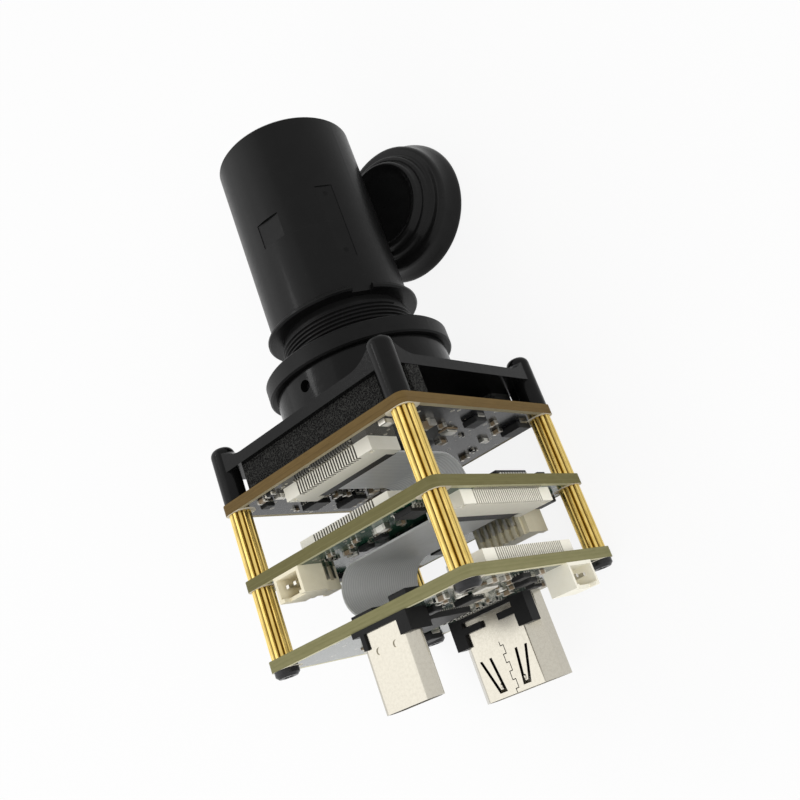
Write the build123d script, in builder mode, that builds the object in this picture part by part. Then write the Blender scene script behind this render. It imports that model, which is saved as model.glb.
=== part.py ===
"""Camera module: three boards on brass spacers, a lens on one side and sockets on the other.

The module lies on its side as on a bench. The lens axis runs along +Y, the boards stand upright
across it, and the table is the plane Z = 0. The origin is in the middle of the sensor board's
lower edge. "Across" is measured from the lens axis towards the table. Millimetres.
"""
import os
from math import cos, pi, sin

from build123d import *

os.makedirs("parts", exist_ok=True)

# Boards and the corner columns that carry them
BOARD_SIDE = 37.0
BOARD_THICK = 1.6
BOARD_CORNER = 1.2
HOLE_INSET = 1.8
HOLE_PITCH = BOARD_SIDE - 2 * HOLE_INSET
SPACER_LENGTH = 10.0
SPACER_DIAMETER = 3.2
SPACER_FLUTES = 12
FLUTE_SIDE = 0.36
STUD_DIAMETER = 1.9
STUD_LENGTH = 4.6
THREAD_GAP = 0.05
HOLE_GAP = 0.1
SCREW_HEAD_DIAMETER = 3.5
SCREW_HEAD_HEIGHT = 1.1
SCREW_HEAD_BEVEL = 0.4
SCREW_SHANK = 5.0
RECESS_WIDTH = 0.5
RECESS_DEPTH = 0.6

# Lens holder
HOLDER_GAP = 4.4
PLATE_THICK = 1.6
PLATE_INSET = 0.4
PLATE_SIDE = BOARD_SIDE - 2 * PLATE_INSET
PLATE_CORNER = 2.0
POST_DIAMETER = 3.6
POST_HEIGHT = 8.7
POST_DOME = 1.2
RAMP_REACH = 5.4
RAMP_RISE = POST_HEIGHT - POST_DOME - HOLDER_GAP - PLATE_THICK
NECK_HEIGHT = 6.9
SKIRT_SIDE = 23.0
SKIRT_WALL = 1.4
WINDOW_SIDE = 11.0
SET_SCREW_DIAMETER = 1.7
SET_SCREW_LENGTH = 2.0
SET_SCREW_RISE = 4.7

# Lens
LENS_THREAD_TOP = 21.9
LENS_FOOT = 8.3
LENS_SLEEVE_DIAMETER = 19.6
LENS_SHOULDER = 0.4
LENS_THREAD_DIAMETER = LENS_SLEEVE_DIAMETER + 2 * LENS_SHOULDER
LENS_SLEEVE_END = 44.0
LENS_WALL = 1.0
STOP_DIAMETER = 11.0
REAR_SEAT_DIAMETER = 14.0
REAR_SEAT_DEPTH = 3.9
STOP_LENGTH = 1.8
REAR_GLASS_EDGE = 1.6
REAR_CROWN_RADIUS = 6.0
BARREL_WALL = 1.3
BARREL_END = 55.4
MOUTH_BEVEL = 0.3
FLANGE_REACH = 1.05
FLANGE_START = 22.9
FLANGE_THICK = 0.8
NECK_WALL = 3.34
RING_REACH = 1.0
RING_START = 13.8
RING_THICK = 2.8
RUN_GAP = 0.06
GLASS_GAP = 0.05
BARREL_DIAMETER = LENS_SLEEVE_DIAMETER + 2 * (GLASS_GAP + BARREL_WALL)
FLANGE_DIAMETER = BARREL_DIAMETER + 2 * FLANGE_REACH
NECK_DIAMETER = LENS_THREAD_DIAMETER + 2 * (RUN_GAP + NECK_WALL)
RING_DIAMETER = NECK_DIAMETER + 2 * RING_REACH
EDGE_BEVEL = 0.25
FRONT_GLASS_EDGE = 2.2
GLASS_CROWN = 1.2
RETAINER_THICK = 1.2
RETAINER_WALL = 1.2
PANEL_WIDTH = 2.8
PANEL_LENGTH = 13.0
PANEL_START = 29.0
PANEL_ANGLE = 31.0
PANEL_DEPTH = 0.18
PAD_SIDE = 4.2
PAD_START = 35.9
PAD_ANGLE = 84.0
PAD_DEPTH = 0.32
NOTCH_WIDTH = 3.3

# Sensor under the lens
SENSOR_LENGTH = 11.0
SENSOR_WIDTH = 9.5
SENSOR_THICK = 1.1
COVER_THICK = 0.5
COVER_BORDER = 0.8
FILTER_SIDE = 12.6
FILTER_THICK = 0.7

# Foam strips
FOAM_WIDTH = 5.2
FOAM_LENGTH = BOARD_SIDE - 5.8
FOAM_INSET = 1.5
FOAM_NEAR_END = BOARD_SIDE / 2 - 0.5

# Ribbon cables and their connectors
CONTACT_PITCH = 0.5
RIBBON_THICK = 0.3
RIBBON_LIFT = 1.05
RIBBON_INSERT = 1.5
CONNECTOR_DEPTH = 4.6
CONNECTOR_HEIGHT = 2.0
CONNECTOR_END = 2.9
EAR_WIDTH = 1.5
EAR_REACH = 1.5
POCKET_INSET = 0.85
POCKET_WIDTH = 0.7
POCKET_LENGTH = 0.9
POCKET_DEPTH = 0.5
LOCK_DEPTH = 2.2
LOCK_GAP = 0.12
LOCK_HEIGHT = 1.6
LOCK_LIFT = 0.2
TONGUE_THICK = 0.3
TONGUE_REACH = 2.2
COMB_WIDTH = 0.26
IMAGE_COMB_DEPTH = 1.0
DATA_COMB_DEPTH = 0.5
CONTACT_WIDTH = 0.2
CONTACT_THICK = 0.16
CONTACT_TAIL = 0.7
IMAGE_WAYS = 24
IMAGE_RIBBON_X = 0.35
IMAGE_REAR = 3.0 - BOARD_SIDE / 2
IMAGE_BEND = 3.3
DATA_WAYS = 33
DATA_RIBBON_ACROSS = -1.2
DATA_REAR = BOARD_SIDE / 2 - 1.2
DATA_BEND = -5.0

# Wire headers
HEADER_WALL = 0.5
HEADER_BACK = 1.2
PIN_SIDE = 0.5
PIN_TAIL = 0.55
RIB_DEPTH = 0.5
POWER_EDGE = 4.2
BUTTON_DEPTH = 4.8
SIDE_DEPTH = 5.3
SIDE_EDGE = 0.3

# Sockets under the socket board
SHELL_THICK = 0.3
USB_WIDTH = 8.94
USB_THICK = 3.2
USB_HEIGHT = 10.9
USB_X = 3.1
USB_EDGE = 1.8
USB_ACROSS = USB_EDGE - BOARD_SIDE / 2
USB_TONGUE_WIDTH = 6.7
USB_TONGUE_THICK = 0.7
USB_TONGUE_SHORT = 1.0
USB_BASE_HEIGHT = 2.7
USB_BASE_REACH = 0.35
USB_BASE_FRONT = 0.35
USB_BASE_REAR = 0.7
USB_BASE_RIM = 0.7
USB_BASE_CORNER = 1.3
USB_BASE_TAB = 0.7
USB_BASE_BLOCK = 1.9
DIMPLE_LEVEL = 3.35
DIMPLE_SPREAD = 2.95
DIMPLE_DIAMETER = 1.0
HDMI_WIDE = 14.6
HDMI_NARROW = 10.7
HDMI_THICK = 5.15
HDMI_TAPER = 1.95
HDMI_CORNER = 1.0
HDMI_HEIGHT = 13.0
HDMI_X = -1.0
HDMI_EDGE = 4.9
HDMI_ACROSS = BOARD_SIDE / 2 - HDMI_EDGE
HDMI_TONGUE_WIDTH = 10.6
HDMI_TONGUE_THICK = 1.1
HDMI_TONGUE_SHORT = 1.6
CHEEK_HEIGHT = 4.5
CHEEK_FRONT = 0.6
CHEEK_BACK = 1.7
CHEEK_FOOT = 0.7
LEFT_CHEEK = 2.3
RIGHT_CHEEK = 2.6
LEFT_ARM = 3.4
RIGHT_ARM = 3.0
ARM_LEVEL = 1.5
ARM_HEIGHT = 1.0
SEAM_WIDTH = 0.13
SEAM_LEVEL = 5.3
SEAM_KEYS = 3
KEY_WIDTH = 0.55
KEY_LENGTH = 1.3
SPRING_ROOT_WIDTH = 1.5
SPRING_TIP_WIDTH = 0.6
SPRING_LENGTH = 5.2
SPRING_SLOT = 0.35
SPRING_ROOT_SPREAD = 6.8
SPRING_TIP_SPREAD = 4.5
SPRING_FROM_TIP = 0.8
SOCKET_FLOOR = 4.5
INSERT_GAP = 0.03

# Dust cap, standing on its brim beside the barrel
CAP_X = 7.2
CAP_ALONG = 44.0
CAP_BRIM_REACH = 0.9
CAP_STEP = 2.4
CAP_FACE_STEP = 1.3
CAP_FACE_DROP = 0.5
CAP_BEAD = 0.7
CAP_CLEARANCE = 0.3
CAP_SHELF = 4.3
CAP_WALL = 1.1
BRIM_THICK = 0.8
BRIM_FLARE = 1.6
CAP_ROUND = 0.45
CAP_HEIGHT = BOARD_SIDE / 2 - BARREL_DIAMETER / 2 - CAP_CLEARANCE
CAP_BODY_DIAMETER = BARREL_DIAMETER

# Chips and small parts: centre in x and across, length along x, width, height
UPPER_CHIPS = ((14.9, 1.4, 5.2, 7.6, 1.0), (15.6, 9.5, 3.4, 2.0, 0.8), (-13.0, 0.0, 5.0, 4.0, 1.0))
MIDDLE_CHIPS = ((-14.5, -4.0, 3.0, 3.0, 0.9), (-14.0, 4.0, 4.0, 5.0, 0.9))
SOCKET_CHIPS = ((-1.5, -3.0, 9.0, 9.0, 0.9), (8.5, -6.0, 3.0, 3.0, 0.9), (-12.5, 5.0, 2.2, 2.2, 0.8))
SENSOR_SMALL = (
    (13.6, -8.0, 2.0, 1.3, 0.9),
    (13.2, -4.2, 1.2, 0.7, 0.6),
    (15.2, 1.0, 2.6, 2.6, 0.9),
    (14.8, 6.4, 1.2, 0.7, 0.6),
    (12.4, 10.6, 1.6, 0.9, 0.6),
)
MIDDLE_SMALL = ((-3.5, -15.6, 1.2, 0.7, 0.5), (1.5, -15.6, 1.2, 0.7, 0.5), (6.0, -15.2, 2.0, 1.2, 0.8))
SOCKET_SMALL = ((11.5, -11.5, 1.6, 0.9, 0.6), (13.6, -3.0, 1.2, 0.7, 0.5), (10.5, 2.0, 1.2, 0.7, 0.5))

# Levels along the lens axis, worked out from the sizes above
AXIS_HEIGHT = BOARD_SIDE / 2
PITCH = BOARD_THICK + SPACER_LENGTH
SENSOR_FACE = BOARD_THICK / 2
SENSOR_BACK = -BOARD_THICK / 2
MIDDLE_FACE = SENSOR_FACE - PITCH
MIDDLE_BACK = SENSOR_BACK - PITCH
SOCKET_FACE = MIDDLE_FACE - PITCH
SOCKET_BACK = MIDDLE_BACK - PITCH
PLATE_BACK = SENSOR_FACE + HOLDER_GAP
PLATE_FACE = PLATE_BACK + PLATE_THICK
NECK_END = PLATE_FACE + NECK_HEIGHT

AWAY = (0, 1, 0)
BACK = (0, -1, 0)
UP = (0, 0, 1)
DOWN = (0, 0, -1)
LEFT = (-1, 0, 0)
RIGHT = (1, 0, 0)
LENS_AXIS = Axis((0, 0, AXIS_HEIGHT), AWAY)


def level(along):
    """Plane square to the lens axis; its own x is X, its own y points down to the table."""
    return Plane(origin=(0, along, AXIS_HEIGHT), x_dir=RIGHT, z_dir=AWAY)


def seat(x, across, along, out, pins):
    """Plane on a board's face: out leaves the board, pins runs along the row of contacts."""
    return Plane(origin=(x, along, AXIS_HEIGHT - across), x_dir=pins, z_dir=out)


def profile_plane(x=0.0, across=0.0):
    """Plane through an axis parallel to the lens axis; its own x is the radius."""
    return Plane(origin=(x, 0, AXIS_HEIGHT - across), x_dir=RIGHT, z_dir=UP)


def save(part, name):
    part.label = name
    export_step(part, f"parts/{name}.step")


# Three boards, each a square with four corner holes
def board(name, back):
    with BuildPart() as blank:
        with BuildSketch(level(back)):
            RectangleRounded(BOARD_SIDE, BOARD_SIDE, BOARD_CORNER)
            with GridLocations(HOLE_PITCH, HOLE_PITCH, 2, 2):
                Circle(STUD_DIAMETER / 2 + HOLE_GAP, mode=Mode.SUBTRACT)
        extrude(amount=BOARD_THICK)
    save(blank.part, name)


board("sensor_board", SENSOR_BACK)
board("middle_board", MIDDLE_BACK)
board("socket_board", SOCKET_BACK)


# Fluted brass spacers with a tapped end and a stud through the next board
def spacer(name, x, across, start):
    with BuildPart() as column:
        with BuildSketch(level(start)) as section:
            with Locations((x, across)):
                Circle(SPACER_DIAMETER / 2)
                with PolarLocations(SPACER_DIAMETER / 2, SPACER_FLUTES):
                    Rectangle(FLUTE_SIDE, FLUTE_SIDE, rotation=45, mode=Mode.SUBTRACT)
        extrude(amount=SPACER_LENGTH)
        with BuildSketch(level(start + SPACER_LENGTH)):
            with Locations((x, across)):
                Circle(STUD_DIAMETER / 2)
        extrude(amount=STUD_LENGTH)
        with BuildSketch(level(start)):
            with Locations((x, across)):
                Circle(STUD_DIAMETER / 2 + THREAD_GAP)
        extrude(amount=SCREW_SHANK, mode=Mode.SUBTRACT)
    save(column.part, name)


for tier, start in (("lower", SOCKET_FACE), ("upper", MIDDLE_FACE)):
    for side, x in (("left", -HOLE_PITCH / 2), ("right", HOLE_PITCH / 2)):
        for edge, across in (("top", -HOLE_PITCH / 2), ("bottom", HOLE_PITCH / 2)):
            spacer(f"{tier}_spacer_{side}_{edge}", x, across, start)


# Pan head screws under the socket board, with a cross recess
def corner_screw(name, x, across):
    with BuildPart() as screw:
        with BuildSketch(seat(x, across, SOCKET_BACK, BACK, RIGHT)):
            Circle(SCREW_HEAD_DIAMETER / 2)
        extrude(amount=SCREW_HEAD_HEIGHT)
        rim = screw.edges().filter_by(GeomType.CIRCLE).sort_by(Axis.Y)[0]
        chamfer(rim, SCREW_HEAD_BEVEL)
        with BuildSketch(seat(x, across, SOCKET_BACK - SCREW_HEAD_HEIGHT, AWAY, RIGHT)):
            Rectangle(SCREW_HEAD_DIAMETER / 2, RECESS_WIDTH)
            Rectangle(RECESS_WIDTH, SCREW_HEAD_DIAMETER / 2)
        extrude(amount=RECESS_DEPTH, mode=Mode.SUBTRACT)
        with BuildSketch(seat(x, across, SOCKET_BACK, AWAY, RIGHT)):
            Circle(STUD_DIAMETER / 2)
        extrude(amount=SCREW_SHANK)
    save(screw.part, name)


for side, x in (("left", -HOLE_PITCH / 2), ("right", HOLE_PITCH / 2)):
    for edge, across in (("top", -HOLE_PITCH / 2), ("bottom", HOLE_PITCH / 2)):
        corner_screw(f"corner_screw_{side}_{edge}", x, across)


# Lens holder: plate, skirt round the sensor, domed corner posts that rise out of the plate, neck
with BuildPart() as post_ramps:
    for x in (-HOLE_PITCH / 2, HOLE_PITCH / 2):
        for across in (-HOLE_PITCH / 2, HOLE_PITCH / 2):
            with BuildSketch(profile_plane(x, across)):
                with BuildLine():
                    Line((0, PLATE_BACK), (RAMP_REACH, PLATE_BACK))
                    Line((RAMP_REACH, PLATE_BACK), (RAMP_REACH, PLATE_FACE))
                    TangentArc(
                        (RAMP_REACH, PLATE_FACE),
                        (POST_DIAMETER / 2, PLATE_FACE + RAMP_RISE),
                        tangent=(-1, 0),
                    )
                    Line((POST_DIAMETER / 2, PLATE_FACE + RAMP_RISE), (0, PLATE_FACE + RAMP_RISE))
                    Line((0, PLATE_FACE + RAMP_RISE), (0, PLATE_BACK))
                make_face()
            revolve(axis=Axis((x, 0, AXIS_HEIGHT - across), AWAY))
    with BuildSketch(level(PLATE_BACK)):
        RectangleRounded(PLATE_SIDE, PLATE_SIDE, PLATE_CORNER)
    extrude(amount=PLATE_THICK + RAMP_RISE, mode=Mode.INTERSECT)

with BuildPart() as lens_holder:
    with BuildSketch(level(SENSOR_FACE)):
        with GridLocations(HOLE_PITCH, HOLE_PITCH, 2, 2):
            Circle(POST_DIAMETER / 2)
    extrude(amount=POST_HEIGHT)
    domes = lens_holder.edges().filter_by(GeomType.CIRCLE).group_by(Axis.Y)[-1]
    fillet(domes, POST_DOME)
    with BuildSketch(level(PLATE_BACK)):
        RectangleRounded(PLATE_SIDE, PLATE_SIDE, PLATE_CORNER)
    extrude(amount=PLATE_THICK)
    add(post_ramps.part)
    with BuildSketch(level(SENSOR_FACE)):
        Rectangle(SKIRT_SIDE, SKIRT_SIDE)
        Rectangle(SKIRT_SIDE - 2 * SKIRT_WALL, SKIRT_SIDE - 2 * SKIRT_WALL, mode=Mode.SUBTRACT)
    extrude(amount=HOLDER_GAP)
    with BuildSketch(level(PLATE_FACE)):
        Circle(NECK_DIAMETER / 2)
    extrude(amount=NECK_HEIGHT)
    with BuildSketch(level(PLATE_FACE)):
        Circle(LENS_THREAD_DIAMETER / 2 + RUN_GAP)
    extrude(amount=NECK_HEIGHT, mode=Mode.SUBTRACT)
    with BuildSketch(level(PLATE_BACK)):
        Rectangle(WINDOW_SIDE, WINDOW_SIDE)
    extrude(amount=PLATE_THICK, mode=Mode.SUBTRACT)
    with BuildSketch(level(SENSOR_FACE)):
        with GridLocations(HOLE_PITCH, HOLE_PITCH, 2, 2):
            Circle(STUD_DIAMETER / 2 + THREAD_GAP)
    extrude(amount=STUD_LENGTH - BOARD_THICK + 2 * HOLE_GAP, mode=Mode.SUBTRACT)
    with BuildSketch(Plane(origin=(0, PLATE_FACE + SET_SCREW_RISE, AXIS_HEIGHT), z_dir=UP)):
        Circle(SET_SCREW_DIAMETER / 2 + THREAD_GAP)
    extrude(amount=NECK_DIAMETER / 2, mode=Mode.SUBTRACT)
save(lens_holder.part, "lens_holder")

with BuildPart() as set_screw:
    screw_foot = AXIS_HEIGHT + LENS_THREAD_DIAMETER / 2 + RUN_GAP + HOLE_GAP
    with BuildSketch(Plane(origin=(0, PLATE_FACE + SET_SCREW_RISE, screw_foot), z_dir=UP)):
        Circle(SET_SCREW_DIAMETER / 2)
    extrude(amount=SET_SCREW_LENGTH)
    with BuildSketch(set_screw.faces().sort_by(Axis.Z)[-1]):
        RegularPolygon(SET_SCREW_DIAMETER * 0.27, 6)
    extrude(amount=-SET_SCREW_LENGTH / 2, mode=Mode.SUBTRACT)
save(set_screw.part, "set_screw")

# Image sensor with its cover glass, and the filter glass on the holder's plate
with BuildPart() as image_sensor:
    with BuildSketch(level(SENSOR_FACE)):
        RectangleRounded(SENSOR_LENGTH, SENSOR_WIDTH, 0.3)
    extrude(amount=SENSOR_THICK)
save(image_sensor.part, "image_sensor")

with BuildPart() as sensor_glass:
    with BuildSketch(level(SENSOR_FACE + SENSOR_THICK)):
        Rectangle(SENSOR_LENGTH - 2 * COVER_BORDER, SENSOR_WIDTH - 2 * COVER_BORDER)
    extrude(amount=COVER_THICK)
save(sensor_glass.part, "sensor_glass")

with BuildPart() as filter_glass:
    with BuildSketch(level(PLATE_FACE)):
        Rectangle(FILTER_SIDE, FILTER_SIDE)
    extrude(amount=FILTER_THICK)
save(filter_glass.part, "filter_glass")


# Foam strips that close the gap between board and plate; each clears one corner post
def foam_strip(name, turn):
    with BuildPart() as strip:
        with BuildSketch(level(SENSOR_FACE)):
            middle = FOAM_NEAR_END - FOAM_LENGTH / 2
            centre = BOARD_SIDE / 2 - FOAM_INSET - FOAM_WIDTH / 2
            with Locations((turn * middle, -turn * centre)):
                Rectangle(FOAM_LENGTH, FOAM_WIDTH)
            with Locations((turn * HOLE_PITCH / 2, -turn * HOLE_PITCH / 2)):
                Rectangle(POST_DIAMETER + 0.6, POST_DIAMETER + 0.6, mode=Mode.SUBTRACT)
        extrude(amount=HOLDER_GAP)
    save(strip.part, name)


foam_strip("foam_strip_top", 1)
foam_strip("foam_strip_bottom", -1)

# Threaded lens body: rear seat, stop and the sleeve that carries barrel and front glass
with BuildPart() as lens_body:
    with BuildSketch(profile_plane()):
        with BuildLine():
            Polyline(
                (REAR_SEAT_DIAMETER / 2, LENS_FOOT),
                (LENS_THREAD_DIAMETER / 2, LENS_FOOT),
                (LENS_THREAD_DIAMETER / 2, LENS_THREAD_TOP),
                (LENS_SLEEVE_DIAMETER / 2, LENS_THREAD_TOP),
                (LENS_SLEEVE_DIAMETER / 2, LENS_SLEEVE_END),
                (LENS_SLEEVE_DIAMETER / 2 - LENS_WALL, LENS_SLEEVE_END),
                (LENS_SLEEVE_DIAMETER / 2 - LENS_WALL, LENS_FOOT + REAR_SEAT_DEPTH + STOP_LENGTH),
                (STOP_DIAMETER / 2, LENS_FOOT + REAR_SEAT_DEPTH + STOP_LENGTH),
                (STOP_DIAMETER / 2, LENS_FOOT + REAR_SEAT_DEPTH),
                (REAR_SEAT_DIAMETER / 2, LENS_FOOT + REAR_SEAT_DEPTH),
                close=True,
            )
        make_face()
    revolve(axis=LENS_AXIS)
save(lens_body.part, "lens_body")

# Lens barrel: moulded tube with a notched flange, a marked panel and a small flat pad
with BuildPart() as lens_barrel:
    bore = LENS_SLEEVE_DIAMETER / 2 + GLASS_GAP
    with BuildSketch(profile_plane()):
        with BuildLine():
            Polyline(
                (bore, FLANGE_START),
                (FLANGE_DIAMETER / 2, FLANGE_START),
                (FLANGE_DIAMETER / 2, FLANGE_START + FLANGE_THICK),
                (BARREL_DIAMETER / 2, FLANGE_START + FLANGE_THICK),
                (BARREL_DIAMETER / 2, BARREL_END),
                (bore, BARREL_END),
                close=True,
            )
        make_face()
    revolve(axis=LENS_AXIS)
    mouth = lens_barrel.edges().filter_by(GeomType.CIRCLE).group_by(Axis.Y)[-1]
    chamfer(mouth, MOUTH_BEVEL)
    flange_rims = lens_barrel.edges().filter_by(
        lambda e: e.geom_type == GeomType.CIRCLE and abs(e.radius - FLANGE_DIAMETER / 2) < 0.01
    )
    chamfer(flange_rims, EDGE_BEVEL)
    for angle, start, length, width, depth in (
        (PANEL_ANGLE, PANEL_START, PANEL_LENGTH, PANEL_WIDTH, PANEL_DEPTH),
        (PAD_ANGLE, PAD_START, PAD_SIDE, PAD_SIDE, PAD_DEPTH),
        (PANEL_ANGLE, FLANGE_START, FLANGE_THICK, NOTCH_WIDTH, 0),
    ):
        reach = BARREL_DIAMETER / 2 - depth
        outward = (cos(angle * pi / 180), 0, sin(angle * pi / 180))
        middle = (outward[0] * reach, start + length / 2, AXIS_HEIGHT + outward[2] * reach)
        with BuildSketch(Plane(origin=middle, x_dir=AWAY, z_dir=outward)):
            Rectangle(length, width)
        extrude(amount=FLANGE_DIAMETER - BARREL_DIAMETER, mode=Mode.SUBTRACT)
save(lens_barrel.part, "lens_barrel")

# Lock ring that clamps the lens against the neck
with BuildPart() as lock_ring:
    with BuildSketch(level(RING_START)):
        Circle(RING_DIAMETER / 2)
        Circle(LENS_THREAD_DIAMETER / 2 + RUN_GAP, mode=Mode.SUBTRACT)
    extrude(amount=RING_THICK)
    outer_rims = lock_ring.edges().filter_by(
        lambda e: e.geom_type == GeomType.CIRCLE and abs(e.radius - RING_DIAMETER / 2) < 0.01
    )
    chamfer(outer_rims, EDGE_BEVEL)
save(lock_ring.part, "lock_ring")


# Glass elements, each with one flat face, a straight edge and a crown that points along facing
def lens_glass(name, radius, crown_radius, seat_along, edge, facing):
    rim = seat_along + facing * edge
    with BuildPart() as glass:
        with BuildSketch(profile_plane()):
            with BuildLine():
                Polyline((0, rim + facing * GLASS_CROWN), (0, seat_along), (radius, seat_along))
                Polyline((radius, seat_along), (radius, rim), (crown_radius, rim))
                TangentArc((0, rim + facing * GLASS_CROWN), (crown_radius, rim), tangent=(1, 0))
            make_face()
        revolve(axis=LENS_AXIS)
    save(glass.part, name)


REAR_RADIUS = REAR_SEAT_DIAMETER / 2 - GLASS_GAP
FRONT_RADIUS = LENS_SLEEVE_DIAMETER / 2
STOP_BACK = LENS_FOOT + REAR_SEAT_DEPTH
FRONT_RIM = LENS_SLEEVE_END + FRONT_GLASS_EDGE
lens_glass("rear_element", REAR_RADIUS, REAR_CROWN_RADIUS, STOP_BACK, REAR_GLASS_EDGE, -1)
lens_glass(
    "front_element", FRONT_RADIUS, FRONT_RADIUS - RETAINER_WALL, LENS_SLEEVE_END, FRONT_GLASS_EDGE, 1
)

with BuildPart() as front_retainer:
    with BuildSketch(level(FRONT_RIM)):
        Circle(FRONT_RADIUS)
        Circle(FRONT_RADIUS - RETAINER_WALL, mode=Mode.SUBTRACT)
    extrude(amount=RETAINER_THICK)
save(front_retainer.part, "front_retainer")


# Ribbon connector: comb housing with ears, a row of contacts, and the slide lock in front of it
def ribbon_connector(name, place, ways, comb_depth):
    comb = (ways - 1) * CONTACT_PITCH
    ribbon = comb + 2 * CONTACT_PITCH
    width = comb + 2 * CONNECTOR_END
    lock_width = width - 2 * EAR_WIDTH - 2 * LOCK_GAP
    slot_low = RIBBON_LIFT - RIBBON_THICK / 2 - 0.04
    tongue_low = slot_low - TONGUE_THICK - 0.05
    slot_high = RIBBON_LIFT + RIBBON_THICK / 2 + 0.04
    with BuildPart() as housing:
        with BuildSketch(place):
            with Locations((0, CONNECTOR_DEPTH / 2)):
                Rectangle(width, CONNECTOR_DEPTH)
            with GridLocations(width - EAR_WIDTH, 0, 2, 1):
                with Locations((0, (CONNECTOR_DEPTH + EAR_REACH) / 2)):
                    Rectangle(EAR_WIDTH, CONNECTOR_DEPTH + EAR_REACH)
        extrude(amount=CONNECTOR_HEIGHT)
        with BuildSketch(place.offset(tongue_low - 0.05)):
            with Locations((0, CONNECTOR_DEPTH / 2 + RIBBON_INSERT / 2 - 0.05)):
                Rectangle(ribbon + 0.2, CONNECTOR_DEPTH - RIBBON_INSERT + 0.1)
        extrude(amount=slot_high - tongue_low + 0.05, mode=Mode.SUBTRACT)
        with BuildSketch(place):
            with GridLocations(CONTACT_PITCH, 0, ways, 1):
                with Locations((0, comb_depth / 2)):
                    Rectangle(COMB_WIDTH, comb_depth)
        extrude(amount=CONNECTOR_HEIGHT, mode=Mode.SUBTRACT)
        with BuildSketch(place.offset(CONNECTOR_HEIGHT - POCKET_DEPTH)):
            with GridLocations(width - 2 * POCKET_INSET, 0, 2, 1):
                with Locations((0, POCKET_INSET)):
                    Rectangle(POCKET_WIDTH, POCKET_LENGTH)
        extrude(amount=POCKET_DEPTH, mode=Mode.SUBTRACT)
    save(housing.part, f"{name}_housing")

    with BuildPart() as contacts:
        with BuildSketch(place):
            with GridLocations(CONTACT_PITCH, 0, ways, 1):
                with Locations((0, (comb_depth - 0.1 - CONTACT_TAIL) / 2)):
                    Rectangle(CONTACT_WIDTH, comb_depth - 0.1 + CONTACT_TAIL)
        extrude(amount=CONTACT_THICK)
        with BuildSketch(place):
            with GridLocations(CONTACT_PITCH, 0, ways, 1):
                with Locations((0, comb_depth - 0.1 - CONTACT_THICK / 2)):
                    Rectangle(CONTACT_WIDTH, CONTACT_THICK)
        extrude(amount=CONNECTOR_HEIGHT - 0.35)
    save(contacts.part, f"{name}_contacts")

    with BuildPart() as lock:
        with BuildSketch(place.offset(LOCK_LIFT)):
            with Locations((0, CONNECTOR_DEPTH + LOCK_GAP + LOCK_DEPTH / 2)):
                Rectangle(lock_width, LOCK_DEPTH)
        extrude(amount=LOCK_HEIGHT)
        with BuildSketch(place.offset(slot_low)):
            with Locations((0, CONNECTOR_DEPTH + LOCK_GAP + LOCK_DEPTH / 2)):
                Rectangle(ribbon + 0.2, LOCK_DEPTH + 0.2)
        extrude(amount=slot_high - slot_low, mode=Mode.SUBTRACT)
        with BuildSketch(place.offset(tongue_low)):
            with Locations((0, CONNECTOR_DEPTH + LOCK_GAP - TONGUE_REACH / 2 + 0.1)):
                Rectangle(ribbon - 0.2, TONGUE_REACH + 0.2)
        extrude(amount=TONGUE_THICK)
    save(lock.part, f"{name}_lock")


IMAGE_TOP_SEAT = seat(IMAGE_RIBBON_X, IMAGE_REAR, SENSOR_BACK, BACK, LEFT)
IMAGE_LOW_SEAT = seat(IMAGE_RIBBON_X, IMAGE_REAR, MIDDLE_FACE, AWAY, RIGHT)
DATA_TOP_SEAT = seat(DATA_REAR, DATA_RIBBON_ACROSS, MIDDLE_BACK, BACK, UP)
DATA_LOW_SEAT = seat(DATA_REAR, DATA_RIBBON_ACROSS, SOCKET_FACE, AWAY, DOWN)
ribbon_connector("sensor_ribbon", IMAGE_TOP_SEAT, IMAGE_WAYS, IMAGE_COMB_DEPTH)
ribbon_connector("image_ribbon", IMAGE_LOW_SEAT, IMAGE_WAYS, IMAGE_COMB_DEPTH)
ribbon_connector("data_ribbon", DATA_TOP_SEAT, DATA_WAYS, DATA_COMB_DEPTH)
ribbon_connector("output_ribbon", DATA_LOW_SEAT, DATA_WAYS, DATA_COMB_DEPTH)


# Ribbon cable: two flat runs joined by a U-bend
def ribbon_cable(name, plane, end, bend, high, low, width, side):
    radius = (high - low) / 2
    middle = (high + low) / 2
    with BuildPart() as ribbon:
        with BuildSketch(plane):
            for mode, offset in ((Mode.ADD, RIBBON_THICK / 2), (Mode.SUBTRACT, -RIBBON_THICK / 2)):
                reach = radius + offset
                with BuildLine():
                    Line((end, middle + reach), (bend, middle + reach))
                    ThreePointArc(
                        (bend, middle + reach), (bend + side * reach, middle), (bend, middle - reach)
                    )
                    Line((bend, middle - reach), (end, middle - reach))
                    Line((end, middle - reach), (end, middle + reach))
                make_face(mode=mode)
        extrude(amount=width / 2, both=True)
    save(ribbon.part, name)


ACROSS_PLANE = Plane(origin=(IMAGE_RIBBON_X, 0, AXIS_HEIGHT), x_dir=DOWN, z_dir=RIGHT)
SIDE_PLANE = Plane(origin=(0, 0, AXIS_HEIGHT - DATA_RIBBON_ACROSS), x_dir=RIGHT, z_dir=UP)
ribbon_cable(
    "image_ribbon_cable",
    ACROSS_PLANE,
    IMAGE_REAR + RIBBON_INSERT,
    IMAGE_BEND,
    SENSOR_BACK - RIBBON_LIFT,
    MIDDLE_FACE + RIBBON_LIFT,
    (IMAGE_WAYS + 1) * CONTACT_PITCH,
    1,
)
ribbon_cable(
    "data_ribbon_cable",
    SIDE_PLANE,
    DATA_REAR - RIBBON_INSERT,
    DATA_BEND,
    MIDDLE_BACK - RIBBON_LIFT,
    SOCKET_FACE + RIBBON_LIFT,
    (DATA_WAYS + 1) * CONTACT_PITCH,
    -1,
)


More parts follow.
